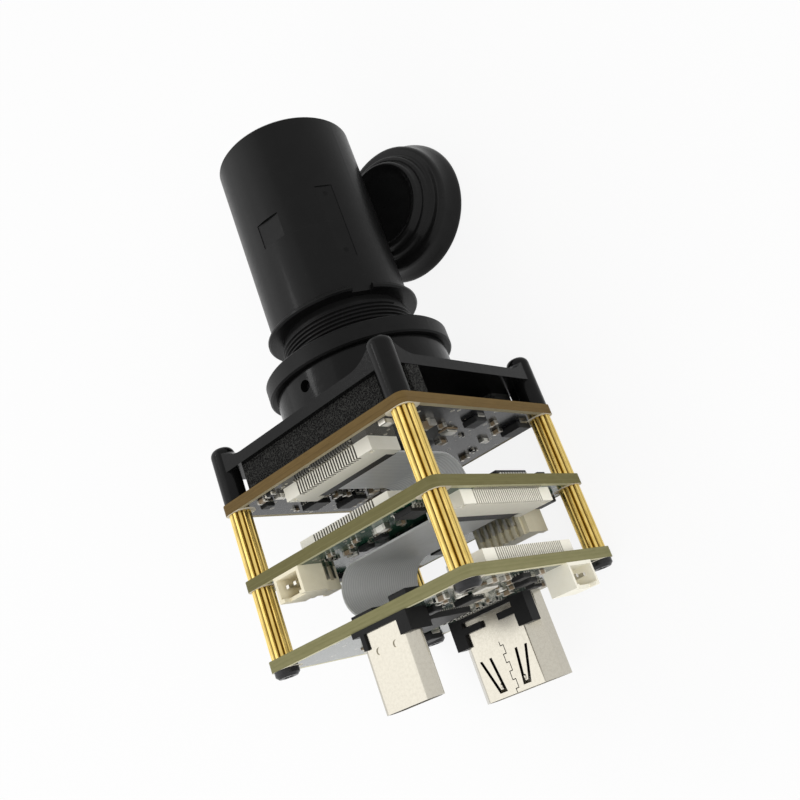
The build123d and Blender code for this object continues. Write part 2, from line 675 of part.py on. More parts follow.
# Wire header: open box housing with a row of pins that leave at its back
def wire_header(name, place, ways, pitch, width, depth, height, ribs=0):
    with BuildPart() as housing:
        with BuildSketch(place):
            with Locations((0, depth / 2)):
                Rectangle(width, depth)
        extrude(amount=height)
        with BuildSketch(place.offset(HEADER_WALL)):
            with Locations((0, (depth + HEADER_BACK) / 2)):
                Rectangle(width - 2 * HEADER_WALL, depth - HEADER_BACK)
        extrude(amount=height - 2 * HEADER_WALL, mode=Mode.SUBTRACT)
        with BuildSketch(place.offset(height - HEADER_WALL)):
            with Locations((0, depth)):
                Rectangle(width - 4 * HEADER_WALL, depth / 2)
        extrude(amount=HEADER_WALL, mode=Mode.SUBTRACT)
        with BuildSketch(place.offset(height / 2 - PIN_SIDE / 2 - INSERT_GAP)):
            with GridLocations(pitch, 0, ways, 1):
                with Locations((0, HEADER_BACK / 2)):
                    Rectangle(PIN_SIDE + 2 * INSERT_GAP, HEADER_BACK)
        extrude(amount=PIN_SIDE + 2 * INSERT_GAP, mode=Mode.SUBTRACT)
        if ribs:
            with BuildSketch(place.offset(height * 0.28)):
                with GridLocations(pitch, 0, ribs, 1):
                    with Locations((0, -RIB_DEPTH / 2)):
                        Rectangle(pitch / 2, RIB_DEPTH)
            extrude(amount=height * 0.72)
    save(housing.part, f"{name}_housing")

    with BuildPart() as pins:
        tail = -PIN_TAIL - (RIB_DEPTH if ribs else 0)
        with BuildSketch(place.offset(height / 2 - PIN_SIDE / 2)):
            with GridLocations(pitch, 0, ways, 1):
                with Locations((0, (tail + depth - HEADER_WALL) / 2)):
                    Rectangle(PIN_SIDE, depth - HEADER_WALL - tail)
        extrude(amount=PIN_SIDE)
        with BuildSketch(place):
            with GridLocations(pitch, 0, ways, 1):
                with Locations((0, tail + PIN_SIDE / 2)):
                    Rectangle(PIN_SIDE, PIN_SIDE)
        extrude(amount=height / 2)
    save(pins.part, f"{name}_pins")


POWER_SEAT = seat(BOARD_SIDE / 2 - POWER_EDGE, 7.55, SOCKET_BACK, BACK, DOWN)
BUTTON_SEAT = seat(-9.85, BUTTON_DEPTH - BOARD_SIDE / 2, MIDDLE_BACK, BACK, RIGHT)
LIGHT_SEAT = seat(-9.4, -10.85, MIDDLE_BACK, BACK, UP)
SIDE_SEAT = seat(5.1, BOARD_SIDE / 2 - SIDE_EDGE - SIDE_DEPTH, MIDDLE_BACK, BACK, LEFT)
wire_header("power_header", POWER_SEAT, 2, 2.0, 6.5, POWER_EDGE, 3.6)
wire_header("button_header", BUTTON_SEAT, 2, 1.5, 5.1, BUTTON_DEPTH, 3.7)
wire_header("light_header", LIGHT_SEAT, 2, 1.25, 3.9, 3.0, 3.4)
wire_header("side_header", SIDE_SEAT, 6, 1.25, 9.6, SIDE_DEPTH, 4.0, ribs=7)


# Upright USB-C socket: rounded steel shell with two dimples, a black insert with its tongue, and
# a black base that holds the foot of the shell
def usb_outline(inset, mode=Mode.ADD):
    thick = USB_THICK - 2 * inset
    RectangleRounded(USB_WIDTH - 2 * inset, thick, thick / 2 - 0.01, mode=mode)


usb_seat = seat(USB_X, USB_ACROSS, SOCKET_BACK, BACK, RIGHT)
with BuildPart() as usb_shell:
    with BuildSketch(usb_seat):
        usb_outline(0)
        usb_outline(SHELL_THICK, Mode.SUBTRACT)
    extrude(amount=USB_HEIGHT)
    usb_top = AXIS_HEIGHT - USB_ACROSS + USB_THICK / 2
    with BuildSketch(Plane(origin=(USB_X, SOCKET_BACK - DIMPLE_LEVEL, usb_top), z_dir=UP)):
        with GridLocations(DIMPLE_SPREAD, 0, 2, 1):
            Circle(DIMPLE_DIAMETER / 2)
    extrude(amount=-SHELL_THICK / 2, mode=Mode.SUBTRACT)
save(usb_shell.part, "usb_shell")

with BuildPart() as usb_insert:
    with BuildSketch(usb_seat):
        usb_outline(SHELL_THICK + INSERT_GAP)
    extrude(amount=SOCKET_FLOOR)
    with BuildSketch(usb_seat.offset(SOCKET_FLOOR)):
        Rectangle(USB_TONGUE_WIDTH, USB_TONGUE_THICK)
    extrude(amount=USB_HEIGHT - USB_TONGUE_SHORT - SOCKET_FLOOR)
save(usb_insert.part, "usb_insert")

with BuildPart() as usb_base:
    base_width = USB_WIDTH + 2 * USB_BASE_REACH
    with BuildSketch(usb_seat):
        with Locations((0, (USB_BASE_FRONT - USB_BASE_REAR) / 2)):
            Rectangle(base_width, USB_THICK + USB_BASE_FRONT + USB_BASE_REAR)
        usb_outline(-INSERT_GAP, Mode.SUBTRACT)
    extrude(amount=USB_BASE_HEIGHT)
    with BuildSketch(usb_seat.offset(USB_BASE_RIM)):
        with Locations((USB_BASE_CORNER / 2 - base_width / 2, USB_THICK / 2)):
            Rectangle(USB_BASE_CORNER, USB_THICK)
        window = base_width - USB_BASE_CORNER - USB_BASE_TAB - USB_BASE_BLOCK
        with Locations((base_width / 2 - USB_BASE_BLOCK - window / 2, (USB_THICK + USB_BASE_FRONT) / 2)):
            Rectangle(window, USB_BASE_FRONT)
    extrude(amount=USB_BASE_HEIGHT, mode=Mode.SUBTRACT)
save(usb_base.part, "usb_base")


# Upright HDMI socket: folded shell with a seam and two spring fingers, insert, black cheeks
def hdmi_outline(inset):
    wide = HDMI_WIDE / 2 - inset
    narrow = HDMI_NARROW / 2 - inset * 0.41
    half = HDMI_THICK / 2 - inset
    knee = HDMI_THICK / 2 - HDMI_TAPER - inset * 0.41
    Polygon(
        (-wide, -half),
        (wide, -half),
        (wide, knee),
        (narrow, half),
        (-narrow, half),
        (-wide, knee),
        align=None,
    )
    fillet(vertices(), HDMI_CORNER - inset)


hdmi_seat = seat(HDMI_X, HDMI_ACROSS, SOCKET_BACK, BACK, RIGHT)
with BuildPart() as hdmi_shell:
    with BuildSketch(hdmi_seat):
        hdmi_outline(0)
    extrude(amount=HDMI_HEIGHT)
    with BuildSketch(hdmi_seat):
        hdmi_outline(SHELL_THICK)
    extrude(amount=HDMI_HEIGHT, mode=Mode.SUBTRACT)
    finger_middle = SOCKET_BACK - HDMI_HEIGHT + SPRING_FROM_TIP + SPRING_LENGTH / 2
    hdmi_top = AXIS_HEIGHT - HDMI_ACROSS + HDMI_THICK / 2
    with BuildSketch(Plane(origin=(HDMI_X, finger_middle, hdmi_top), z_dir=UP)):
        for turn in (-1, 1):
            for slot, mode in ((SPRING_SLOT, Mode.ADD), (0, Mode.SUBTRACT)):
                root = turn * SPRING_ROOT_SPREAD / 2
                tip = turn * SPRING_TIP_SPREAD / 2
                low = SPRING_SLOT - slot - SPRING_LENGTH / 2
                Polygon(
                    (root - SPRING_ROOT_WIDTH / 2 - slot, SPRING_LENGTH / 2),
                    (tip - SPRING_TIP_WIDTH / 2 - slot, low),
                    (tip + SPRING_TIP_WIDTH / 2 + slot, low),
                    (root + SPRING_ROOT_WIDTH / 2 + slot, SPRING_LENGTH / 2),
                    align=None,
                    mode=mode,
                )
    extrude(amount=-2 * SHELL_THICK, mode=Mode.SUBTRACT)
    seam_length = HDMI_HEIGHT - SEAM_LEVEL
    seam = [(0, 0)]
    for key in range(SEAM_KEYS):
        start = (KEY_LENGTH - seam_length / SEAM_KEYS) / 2 - key * seam_length / SEAM_KEYS
        seam += [(0, start), (KEY_WIDTH, start), (KEY_WIDTH, start - KEY_LENGTH), (0, start - KEY_LENGTH)]
    seam.append((0, -seam_length - SEAM_WIDTH))
    with BuildSketch(Plane(origin=(HDMI_X, SOCKET_BACK - SEAM_LEVEL, hdmi_top), z_dir=UP)):
        with BuildLine():
            Polyline(*seam)
        trace(line_width=SEAM_WIDTH)
    extrude(amount=-2 * SHELL_THICK, mode=Mode.SUBTRACT)
save(hdmi_shell.part, "hdmi_shell")

with BuildPart() as hdmi_insert:
    with BuildSketch(hdmi_seat):
        hdmi_outline(SHELL_THICK + INSERT_GAP)
    extrude(amount=SOCKET_FLOOR)
    with BuildSketch(hdmi_seat.offset(SOCKET_FLOOR)):
        Rectangle(HDMI_TONGUE_WIDTH, HDMI_TONGUE_THICK)
    extrude(amount=HDMI_HEIGHT - HDMI_TONGUE_SHORT - SOCKET_FLOOR)
save(hdmi_insert.part, "hdmi_insert")

with BuildPart() as hdmi_base:
    front = (HDMI_THICK + CHEEK_FRONT) / 2
    with BuildSketch(hdmi_seat):
        for turn, width in ((-1, LEFT_CHEEK), (1, RIGHT_CHEEK)):
            with Locations((turn * (HDMI_WIDE - width) / 2, front - CHEEK_BACK / 2)):
                Rectangle(width, CHEEK_FRONT + CHEEK_BACK)
    extrude(amount=CHEEK_HEIGHT)
    with BuildSketch(hdmi_seat):
        with Locations((0, front)):
            Rectangle(HDMI_WIDE, CHEEK_FRONT)
    extrude(amount=CHEEK_FOOT)
    with BuildSketch(hdmi_seat.offset(ARM_LEVEL)):
        for turn, width, arm in ((-1, LEFT_CHEEK, LEFT_ARM), (1, RIGHT_CHEEK, RIGHT_ARM)):
            with Locations((turn * (HDMI_WIDE - width - arm) / 2, front)):
                Rectangle(width + arm, CHEEK_FRONT)
    extrude(amount=ARM_HEIGHT)
    with BuildSketch(hdmi_seat):
        hdmi_outline(-INSERT_GAP)
    extrude(amount=CHEEK_HEIGHT, mode=Mode.SUBTRACT)
save(hdmi_base.part, "hdmi_base")


# Chips and small parts: each entry is its centre in x and across, its size and its height
def components(name, groups):
    with BuildPart() as group:
        for along, out, entries in groups:
            for x, across, length, width, height in entries:
                with BuildSketch(seat(x, across, along, out, RIGHT)):
                    Rectangle(length, width)
                extrude(amount=height)
    save(group.part, name)


CHIPS = ((MIDDLE_FACE, AWAY, UPPER_CHIPS), (MIDDLE_BACK, BACK, MIDDLE_CHIPS), (SOCKET_BACK, BACK, SOCKET_CHIPS))
SMALL = ((SENSOR_BACK, BACK, SENSOR_SMALL), (MIDDLE_BACK, BACK, MIDDLE_SMALL), (SOCKET_BACK, BACK, SOCKET_SMALL))
components("chips", CHIPS)
components("small_parts", SMALL)

# Dust cap standing on its brim: stepped rubber cup with a flared lip and a sunken face
with BuildPart() as dust_cap:
    body = CAP_BODY_DIAMETER / 2
    brim = body + CAP_BRIM_REACH
    boss = body - CAP_STEP
    bead = boss - CAP_FACE_STEP
    roof = CAP_HEIGHT - CAP_FACE_DROP
    with BuildSketch(Plane(origin=(CAP_X, CAP_ALONG, 0), x_dir=RIGHT, z_dir=BACK)):
        with BuildLine():
            Polyline(
                (body - CAP_WALL, 0),
                (brim, 0),
                (brim, BRIM_THICK),
                (body, BRIM_THICK + BRIM_FLARE),
                (body, CAP_SHELF),
                (boss, CAP_SHELF),
                (boss, roof),
                (bead, CAP_HEIGHT),
                (bead - CAP_BEAD, CAP_HEIGHT),
                (bead - CAP_BEAD - CAP_FACE_DROP, roof),
                (0, roof),
                (0, roof - CAP_WALL),
                (boss - CAP_WALL, roof - CAP_WALL),
                (boss - CAP_WALL, CAP_SHELF - CAP_WALL),
                (body - CAP_WALL, CAP_SHELF - CAP_WALL),
                close=True,
            )
        make_face()
    revolve(axis=Axis((CAP_X, CAP_ALONG, 0), UP))
    steps = dust_cap.edges().filter_by(
        lambda e: e.geom_type == GeomType.CIRCLE and e.center().Z > CAP_SHELF - 0.01 and e.radius > boss - 0.01
    )
    chamfer(steps, CAP_ROUND)
save(dust_cap.part, "dust_cap")
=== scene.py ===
import math

import bmesh
import bpy
from mathutils import Matrix, Vector


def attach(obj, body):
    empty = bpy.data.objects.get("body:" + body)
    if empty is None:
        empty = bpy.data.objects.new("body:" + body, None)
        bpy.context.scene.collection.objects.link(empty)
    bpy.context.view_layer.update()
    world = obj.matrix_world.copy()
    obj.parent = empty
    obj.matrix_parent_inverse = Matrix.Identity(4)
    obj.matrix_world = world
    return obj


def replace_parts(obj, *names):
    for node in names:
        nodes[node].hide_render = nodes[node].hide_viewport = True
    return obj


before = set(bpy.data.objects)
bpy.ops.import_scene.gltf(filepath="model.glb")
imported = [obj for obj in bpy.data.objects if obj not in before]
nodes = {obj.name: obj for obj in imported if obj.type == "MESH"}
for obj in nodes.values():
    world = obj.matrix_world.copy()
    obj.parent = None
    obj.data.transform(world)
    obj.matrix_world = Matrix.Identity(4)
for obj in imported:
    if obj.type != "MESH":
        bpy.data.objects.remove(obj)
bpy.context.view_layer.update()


# The table that the module and its cap lie on, and the light over it: a plain pale sheet, a large
# soft lamp above, two at the side and back that gloss doesn't show, and a small one for glints. The
# eye, gloss and glass see the sheet and the sky beyond it as white.
class Shade:
    """A number, colour or vector in a finish. Arithmetic on it adds the nodes that work it out."""

    def __init__(self, tree, socket=None):
        self.tree = tree
        self.socket = socket

    def add(self, kind, settings, links, out=0):
        """One node: its settings first, then the values or links of its sockets."""
        node = self.tree.nodes.new(kind)
        for key, value in settings.items():
            setattr(node, key, value)
        for key, value in links.items():
            if isinstance(value, Shade):
                self.tree.links.new(value.socket, node.inputs[key])
            else:
                node.inputs[key].default_value = value
        return Shade(self.tree, node.outputs[out])

    def maths(self, operation, *values):
        return self.add("ShaderNodeMath", {"operation": operation}, dict(enumerate(values)))

    def __add__(self, other):
        return self.maths("ADD", self, other)

    def __radd__(self, other):
        return self.maths("ADD", other, self)

    def __sub__(self, other):
        return self.maths("SUBTRACT", self, other)

    def __rsub__(self, other):
        return self.maths("SUBTRACT", other, self)

    def __mul__(self, other):
        return self.maths("MULTIPLY", self, other)

    def __rmul__(self, other):
        return self.maths("MULTIPLY", other, self)

    def __truediv__(self, other):
        return self.maths("DIVIDE", self, other)

    def __gt__(self, other):
        return self.maths("GREATER_THAN", self, other)

    def __lt__(self, other):
        return self.maths("LESS_THAN", self, other)

    def magnitude(self):
        return self.maths("ABSOLUTE", self)

    def root(self):
        return self.maths("SQRT", self)

    def larger(self, other):
        return self.maths("MAXIMUM", self, other)

    def wrap(self, period):
        return self.maths("FLOORED_MODULO", self, period)

    def part(self, index):
        return self.add("ShaderNodeSeparateXYZ", {}, {0: self}, index)

    def away_from(self, x, y, z):
        """Distance from a point in millimetres."""
        return self.add("ShaderNodeVectorMath", {"operation": "DISTANCE"}, {0: self, 1: (x, y, z)}, "Value")

    def stretched(self, scale, shift=(0, 0, 0), turn=(0, 0, 0)):
        links = {"Vector": self, "Scale": scale, "Location": shift, "Rotation": turn}
        return self.add("ShaderNodeMapping", {}, links)

    def noise(self, scale, detail=3.0, roughness=0.6, stretch=(1, 1, 1)):
        links = {"Vector": self.stretched(stretch), "Scale": scale, "Detail": detail, "Roughness": roughness}
        return self.add("ShaderNodeTexNoise", {}, links, 0)

    def cells(self, scale):
        return self.add("ShaderNodeTexVoronoi", {}, {"Vector": self, "Scale": scale}, 0)

    def blend(self, low, high):
        """Runs from the colour low to the colour high as this number runs from 0 to 1."""
        return self.add("ShaderNodeMix", {"data_type": "RGBA"}, {0: self, 6: low, 7: high}, 2)

    def rise(self, low, high):
        """0 below low, 1 above high, smooth between them."""
        settings = {"interpolation_type": "SMOOTHSTEP"}
        return self.add("ShaderNodeMapRange", settings, {0: self, 1: low, 2: high})

    def relief(self, strength, depth):
        """The normal of a surface raised by this number, depth in metres."""
        return self.add("ShaderNodeBump", {}, {"Strength": strength, "Distance": depth, "Height": self})


def on_view(tree):
    """1 for what the eye, gloss and glass see, 0 for the light that lands on the pieces."""
    start = Shade(tree)
    eye = start.add("ShaderNodeLightPath", {}, {}, "Is Camera Ray")
    through = start.add("ShaderNodeLightPath", {}, {}, "Is Transmission Ray")
    mirrored = start.add("ShaderNodeLightPath", {}, {}, "Is Glossy Ray")
    return eye.larger(through).larger(mirrored)


TABLE_REACH = 1.5
TABLE_WHITE = 0.87
table_mesh = bpy.data.meshes.new("table")
table = bpy.data.objects.new("table", table_mesh)
bpy.context.scene.collection.objects.link(table)
sheet = bmesh.new()
bmesh.ops.create_grid(sheet, x_segments=1, y_segments=1, size=TABLE_REACH)
sheet.to_mesh(table_mesh)
sheet.free()

table_paint = bpy.data.materials.new("table_paint")
table_paint.use_nodes = True
paint_tree = table_paint.node_tree
paint = paint_tree.nodes["Principled BSDF"]
paint.inputs["Base Color"].default_value = (0.86, 0.86, 0.86, 1)
paint.inputs["Roughness"].default_value = 0.9
plain_white = Shade(paint_tree).add("ShaderNodeEmission", {}, {"Color": (1, 1, 1, 1), "Strength": 1.0})
matt_sheet = Shade(paint_tree, paint.outputs[0])
share = on_view(paint_tree) * TABLE_WHITE
lit_sheet = share.add("ShaderNodeMixShader", {}, {0: share, 1: matt_sheet, 2: plain_white})
paint_tree.links.new(lit_sheet.socket, paint_tree.nodes["Material Output"].inputs["Surface"])
table_mesh.materials.append(table_paint)

SKY_LEVEL = 0.5
sky = bpy.data.worlds.new("sky")
bpy.context.scene.world = sky
sky.use_nodes = True
background = sky.node_tree.nodes["Background"]
background.inputs["Color"].default_value = (1, 1, 1, 1)
brightness = SKY_LEVEL + on_view(sky.node_tree) * (1.0 - SKY_LEVEL)
sky.node_tree.links.new(brightness.socket, background.inputs["Strength"])

LAMPS_AIM_AT = Vector((0, 0.01, 0.02))
for lamp_name, place, size, watts, in_gloss in (
    ("lamp_over", (-0.32, 0.20, 0.46), 0.8, 1.3, True),
    ("lamp_side", (0.45, -0.20, 0.25), 0.5, 1.5, False),
    ("lamp_back", (-0.25, -0.42, 0.20), 0.6, 1.5, False),
    ("lamp_spark", (-0.20, 0.22, 0.42), 0.07, 0.12, True),
):
    lamp_data = bpy.data.lights.new(lamp_name, "AREA")
    lamp_data.size = size
    lamp_data.energy = watts
    lamp = bpy.data.objects.new(lamp_name, lamp_data)
    lamp.location = place
    lamp.visible_glossy = in_gloss
    aim = LAMPS_AIM_AT - Vector(place)
    lamp.rotation_euler = aim.to_track_quat("-Z", "Y").to_euler()
    bpy.context.scene.collection.objects.link(lamp)

# The camera looks down on the table at 51 degrees and is rolled a quarter turn, as in the picture.
# Its three directions are written as unit vectors; the lens is a short portrait one.
camera_data = bpy.data.cameras.new("camera")
camera_data.lens = 44.66
camera_data.sensor_width = 36.0
camera_data.clip_start = 0.01
camera = bpy.data.objects.new("camera", camera_data)
right = Vector((0.7042, -0.3284, -0.6295))
up = Vector((0.4617, 0.8854, 0.0545))
ahead = Vector((-0.5395, 0.3290, -0.7751))
turn = Matrix((right, up, -ahead)).transposed().to_4x4()
camera.matrix_world = Matrix.Translation((0.08486, -0.0412, 0.13304)) @ turn
bpy.context.scene.collection.objects.link(camera)
bpy.context.scene.camera = camera
bpy.context.scene.view_settings.view_transform = "Standard"


# The three boards: glass fibre with a glossy printed mask, black on the sensor board and dark green on
# the other two. The mask stops short of the sawn edges, which show the bare layered core.
class Finish:
    """A new material with its shader; at is the object's own coordinates, in millimetres."""

    def __init__(self, name, metallic=0.0, coat=0.0, specular=0.5):
        self.material = bpy.data.materials.new(name)
        self.material.use_nodes = True
        tree = self.material.node_tree
        self.shader = tree.nodes["Principled BSDF"]
        self.shader.inputs["Metallic"].default_value = metallic
        self.shader.inputs["Coat Weight"].default_value = coat
        self.shader.inputs["Coat Roughness"].default_value = 0.1
        self.shader.inputs["IOR"].default_value = 1.5
        self.shader.inputs["Specular IOR Level"].default_value = specular
        start = Shade(tree)
        metres = start.add("ShaderNodeTexCoord", {}, {}, "Object")
        self.at = start.add("ShaderNodeVectorMath", {"operation": "SCALE"}, {0: metres, "Scale": 1000.0})
        self.facing = start.add("ShaderNodeNewGeometry", {}, {}, "True Normal")

    def set(self, name, value):
        if isinstance(value, Shade):
            value.tree.links.new(value.socket, self.shader.inputs[name])
        else:
            self.shader.inputs[name].default_value = value

    def give(self, *names):
        for name in names:
            nodes[name].material_slots[0].material = self.material


BOARD_HALF = 18.5
HOLE_OFFSET = 16.7
MASK_BORDER = 0.75
PAD_RADIUS = 2.35
VIA_RIM = 0.20
VIA_HOLE = 0.10


def board_finish(name, mask, trace, core, core_dark, border, gloss_coat, seed):
    """Mask over copper tracks and plated holes on the two faces, bare layered core at the edges."""
    board = Finish(name, specular=0.15)
    x = board.at.part(0)
    y = board.at.part(1)
    z = board.at.part(2) - BOARD_HALF
    face = board.facing.part(1).magnitude() > 0.5
    side_on = x.magnitude().larger(z.magnitude())
    masked = side_on < BOARD_HALF - MASK_BORDER
    dx = x.magnitude() - HOLE_OFFSET
    dz = z.magnitude() - HOLE_OFFSET
    from_hole = (dx * dx + dz * dz).root()
    pad = from_hole < PAD_RADIUS
    shifted = board.at.stretched((1, 1, 1), (seed, 0, seed), (math.pi / 2, 0, 0))
    bricks = {
        "Vector": shifted,
        "Scale": 1.0,
        "Mortar Size": 0.05,
        "Mortar Smooth": 0.2,
        "Brick Width": 2.3,
        "Row Height": 0.5,
    }
    settings = {"offset": 0.37, "squash": 0.6, "squash_frequency": 3}
    tracks = shifted.add("ShaderNodeTexBrick", settings, bricks, "Fac")
    crossing = shifted.stretched((1, 1, 1), (5.3, 2.1, 0), (0, 0, math.pi / 2))
    tracks_over = crossing.add("ShaderNodeTexBrick", settings, {**bricks, "Vector": crossing}, "Fac")
    patches = shifted.noise(0.22, 1.0, 0.4)
    copper = tracks * (patches > 0.52) + tracks_over * (patches < 0.44)
    vias = shifted.cells(0.55)
    rims = vias < VIA_RIM
    colour = copper.blend(mask, trace)
    colour = rims.blend(colour, (0.34, 0.32, 0.26, 1))
    colour = (vias < VIA_HOLE).blend(colour, (0.015, 0.015, 0.015, 1))
    colour = masked.blend(border, colour)
    colour = pad.blend(colour, (0.62, 0.58, 0.48, 1))
    layers = y.noise(2.6, 2.0, 0.5) * 0.6 + board.at.noise(0.5, 3.0, 0.6, (1, 6, 1)) * 0.6
    edge = layers.rise(0.35, 0.85).blend(core, core_dark)
    board.set("Base Color", face.blend(edge, colour))
    sheen = masked * (1.0 - pad) * face
    board.set("Roughness", 0.7 - sheen * (0.55 - board.at.noise(1.5) * 0.08))
    board.set("Coat Weight", sheen * gloss_coat)
    height = copper * 0.6 + rims * 0.5 + board.at.noise(0.8) * 0.4
    board.set("Normal", height.relief(0.3, 0.00003))
    return board


board_finish(
    "black_board",
    mask=(0.010, 0.010, 0.011, 1),
    trace=(0.018, 0.018, 0.018, 1),
    core=(0.150, 0.097, 0.034, 1),
    core_dark=(0.105, 0.066, 0.022, 1),
    border=(0.30, 0.26, 0.17, 1),
    gloss_coat=0.0,
    seed=3.0,
).give("sensor_board")
board_finish(
    "green_board",
    mask=(0.008, 0.040, 0.024, 1),
    trace=(0.016, 0.075, 0.040, 1),
    core=(0.165, 0.150, 0.064, 1),
    core_dark=(0.130, 0.118, 0.047, 1),
    border=(0.45, 0.43, 0.27, 1),
    gloss_coat=0.1,
    seed=11.0,
).give("middle_board")
board_finish(
    "grey_green_board",
    mask=(0.030, 0.045, 0.036, 1),
    trace=(0.055, 0.075, 0.055, 1),
    core=(0.240, 0.225, 0.110, 1),
    core_dark=(0.190, 0.180, 0.082, 1),
    border=(0.55, 0.52, 0.36, 1),
    gloss_coat=0.35,
    seed=23.0,
).give("socket_board")

# The brass columns between the boards, drawn as fluted bar and cut to length, and the black screws.
# The bar is bright, with fine lines along its length, their floors painted dark as shade; the screws are
# blackened steel.
FLUTE_FLOOR = 1.38
FLUTE_CREST = 1.56
brass = Finish("bright_brass", metallic=1.0)
wear = brass.at.noise(1.4, 5.0, 0.6, (1, 0.35, 1))
off_x = brass.at.part(0).magnitude() - HOLE_OFFSET
off_z = (brass.at.part(2) - BOARD_HALF).magnitude() - HOLE_OFFSET
from_axis = (off_x * off_x + off_z * off_z).root()
bright = wear.rise(0.3, 0.75).blend((0.80, 0.60, 0.20, 1), (0.62, 0.45, 0.13, 1))
# Painted shade: the floors of the flutes, nearer the axis, are coloured dark brown.
brass.set("Base Color", from_axis.rise(FLUTE_FLOOR, FLUTE_CREST).blend((0.22, 0.14, 0.035, 1), bright))
brass.set("Roughness", wear * 0.2 + 0.16)
brass.set("Normal", brass.at.noise(9.0, 3.0, 0.7, (1, 0.12, 1)).relief(0.08, 0.00002))
brass.give(*[name for name in nodes if "spacer" in name])

screw_black = Finish("screw_black", metallic=0.6)
blackened = screw_black.at.noise(5.0).blend((0.012, 0.012, 0.013, 1), (0.035, 0.035, 0.036, 1))
screw_black.set("Base Color", blackened)
screw_black.set("Roughness", screw_black.at.noise(3.0) * 0.2 + 0.25)
screw_black.give(*[name for name in nodes if "screw" in name])


# The lens holder: one glossy black moulding with faint flow marks, and the black foam strips that
# close the gap under its plate. The foam is open-celled and sheds light only from its pores. A thin
# web of the holder closes the gap between the lower strip and its corner post.
MILLIMETRE = 0.001


def finished(name, shape, finish, body, smooth=None):
    """Turns a shape in millimetres into an object in metres that rides on a body."""
    bmesh.ops.scale(shape, vec=(MILLIMETRE, MILLIMETRE, MILLIMETRE), verts=shape.verts)
    bmesh.ops.recalc_face_normals(shape, faces=shape.faces)
    mesh = bpy.data.meshes.new(name)
    shape.to_mesh(mesh)
    shape.free()
    mesh.materials.append(finish.material)
    if smooth:
        mesh.shade_smooth()
        mesh.set_sharp_from_angle(angle=math.radians(smooth))
    piece = bpy.data.objects.new(name, mesh)
    bpy.context.scene.collection.objects.link(piece)
    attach(piece, body)
    return piece


def brick(shape, low, high, bevel):
    """A block between two corners, its edges broken by a small bevel."""
    made = bmesh.ops.create_cube(shape, size=1.0)["verts"]
    bmesh.ops.scale(shape, vec=[b - a for a, b in zip(low, high)], verts=made)
    bmesh.ops.translate(shape, vec=[(a + b) / 2 for a, b in zip(low, high)], verts=made)
    edges = list(dict.fromkeys(edge for vertex in made for edge in vertex.link_edges))
    bmesh.ops.bevel(shape, geom=edges, offset=bevel, segments=1, profile=0.5, affect="EDGES", material=-1)


holder_black = Finish("holder_black", coat=0.12, specular=0.07)
flow = holder_black.at.noise(0.7, 3.0)
holder_black.set("Base Color", flow.blend((0.003, 0.003, 0.003, 1), (0.006, 0.006, 0.006, 1)))
holder_black.set("Roughness", holder_black.at.noise(2.5, 4.0) * 0.14 + 0.16)
waves = holder_black.at.noise(1.2, 2.0) + holder_black.at.noise(14.0, 2.0) * 0.1
holder_black.set("Normal", waves.relief(0.25, 0.00012))
holder_black.give("lens_holder")

WEB_LOW = (13.25, 0.82, 0.3)
WEB_HIGH = (15.6, 5.18, 1.5)
web = bmesh.new()
brick(web, WEB_LOW, WEB_HIGH, 0.1)
finished("holder_web", web, holder_black, "module")

foam = Finish("foam_black", specular=0.2)
pores = foam.at.cells(4.5) + foam.at.noise(6.0, 5.0, 0.8) * 0.7
foam.set("Base Color", pores.rise(0.6, 1.1).blend((0.001, 0.001, 0.001, 1), (0.045, 0.045, 0.042, 1)))
foam.set("Roughness", 0.95)
foam.set("Normal", pores.relief(1.0, 0.0003))
foam.give("foam_strip_top", "foam_strip_bottom")


# The threaded lens body and its lock ring: turned aluminium, anodised black. The visible thread
# between ring and barrel is one ridge wound round the body.
anodised = Finish("anodised_black", specular=0.12)
anodised.set("Base Color", anodised.at.noise(0.7).blend((0.003, 0.003, 0.003, 1), (0.007, 0.007, 0.007, 1)))
anodised.set("Roughness", anodised.at.noise(4.0) * 0.15 + 0.32)
anodised.set("Normal", anodised.at.noise(12.0, 3.0).relief(0.3, 0.00003))
anodised.give("lens_body", "lock_ring", "front_retainer")

THREAD_START = 17.0
THREAD_ROOT = 10.12
THREAD_CREST = 10.47
THREAD_PITCH = 0.62
THREAD_TURNS = 7
THREAD_STEPS = 72
thread = bmesh.new()
ridge = ((THREAD_ROOT, -0.28), (THREAD_CREST, -0.05), (THREAD_CREST, 0.05), (THREAD_ROOT, 0.28))
corners = [thread.verts.new((radius, THREAD_START + along, BOARD_HALF)) for radius, along in ridge]
section = thread.faces.new(corners)
bmesh.ops.spin(
    thread,
    geom=[section, *section.edges, *section.verts],
    cent=(0, 0, BOARD_HALF),
    axis=(0, 1, 0),
    dvec=(0, THREAD_PITCH / THREAD_STEPS, 0),
    angle=2 * math.pi * THREAD_TURNS,
    steps=THREAD_STEPS * THREAD_TURNS,
)
bmesh.ops.holes_fill(thread, edges=[edge for edge in thread.edges if edge.is_boundary])
finished("lens_thread", thread, anodised, "lens", 40)

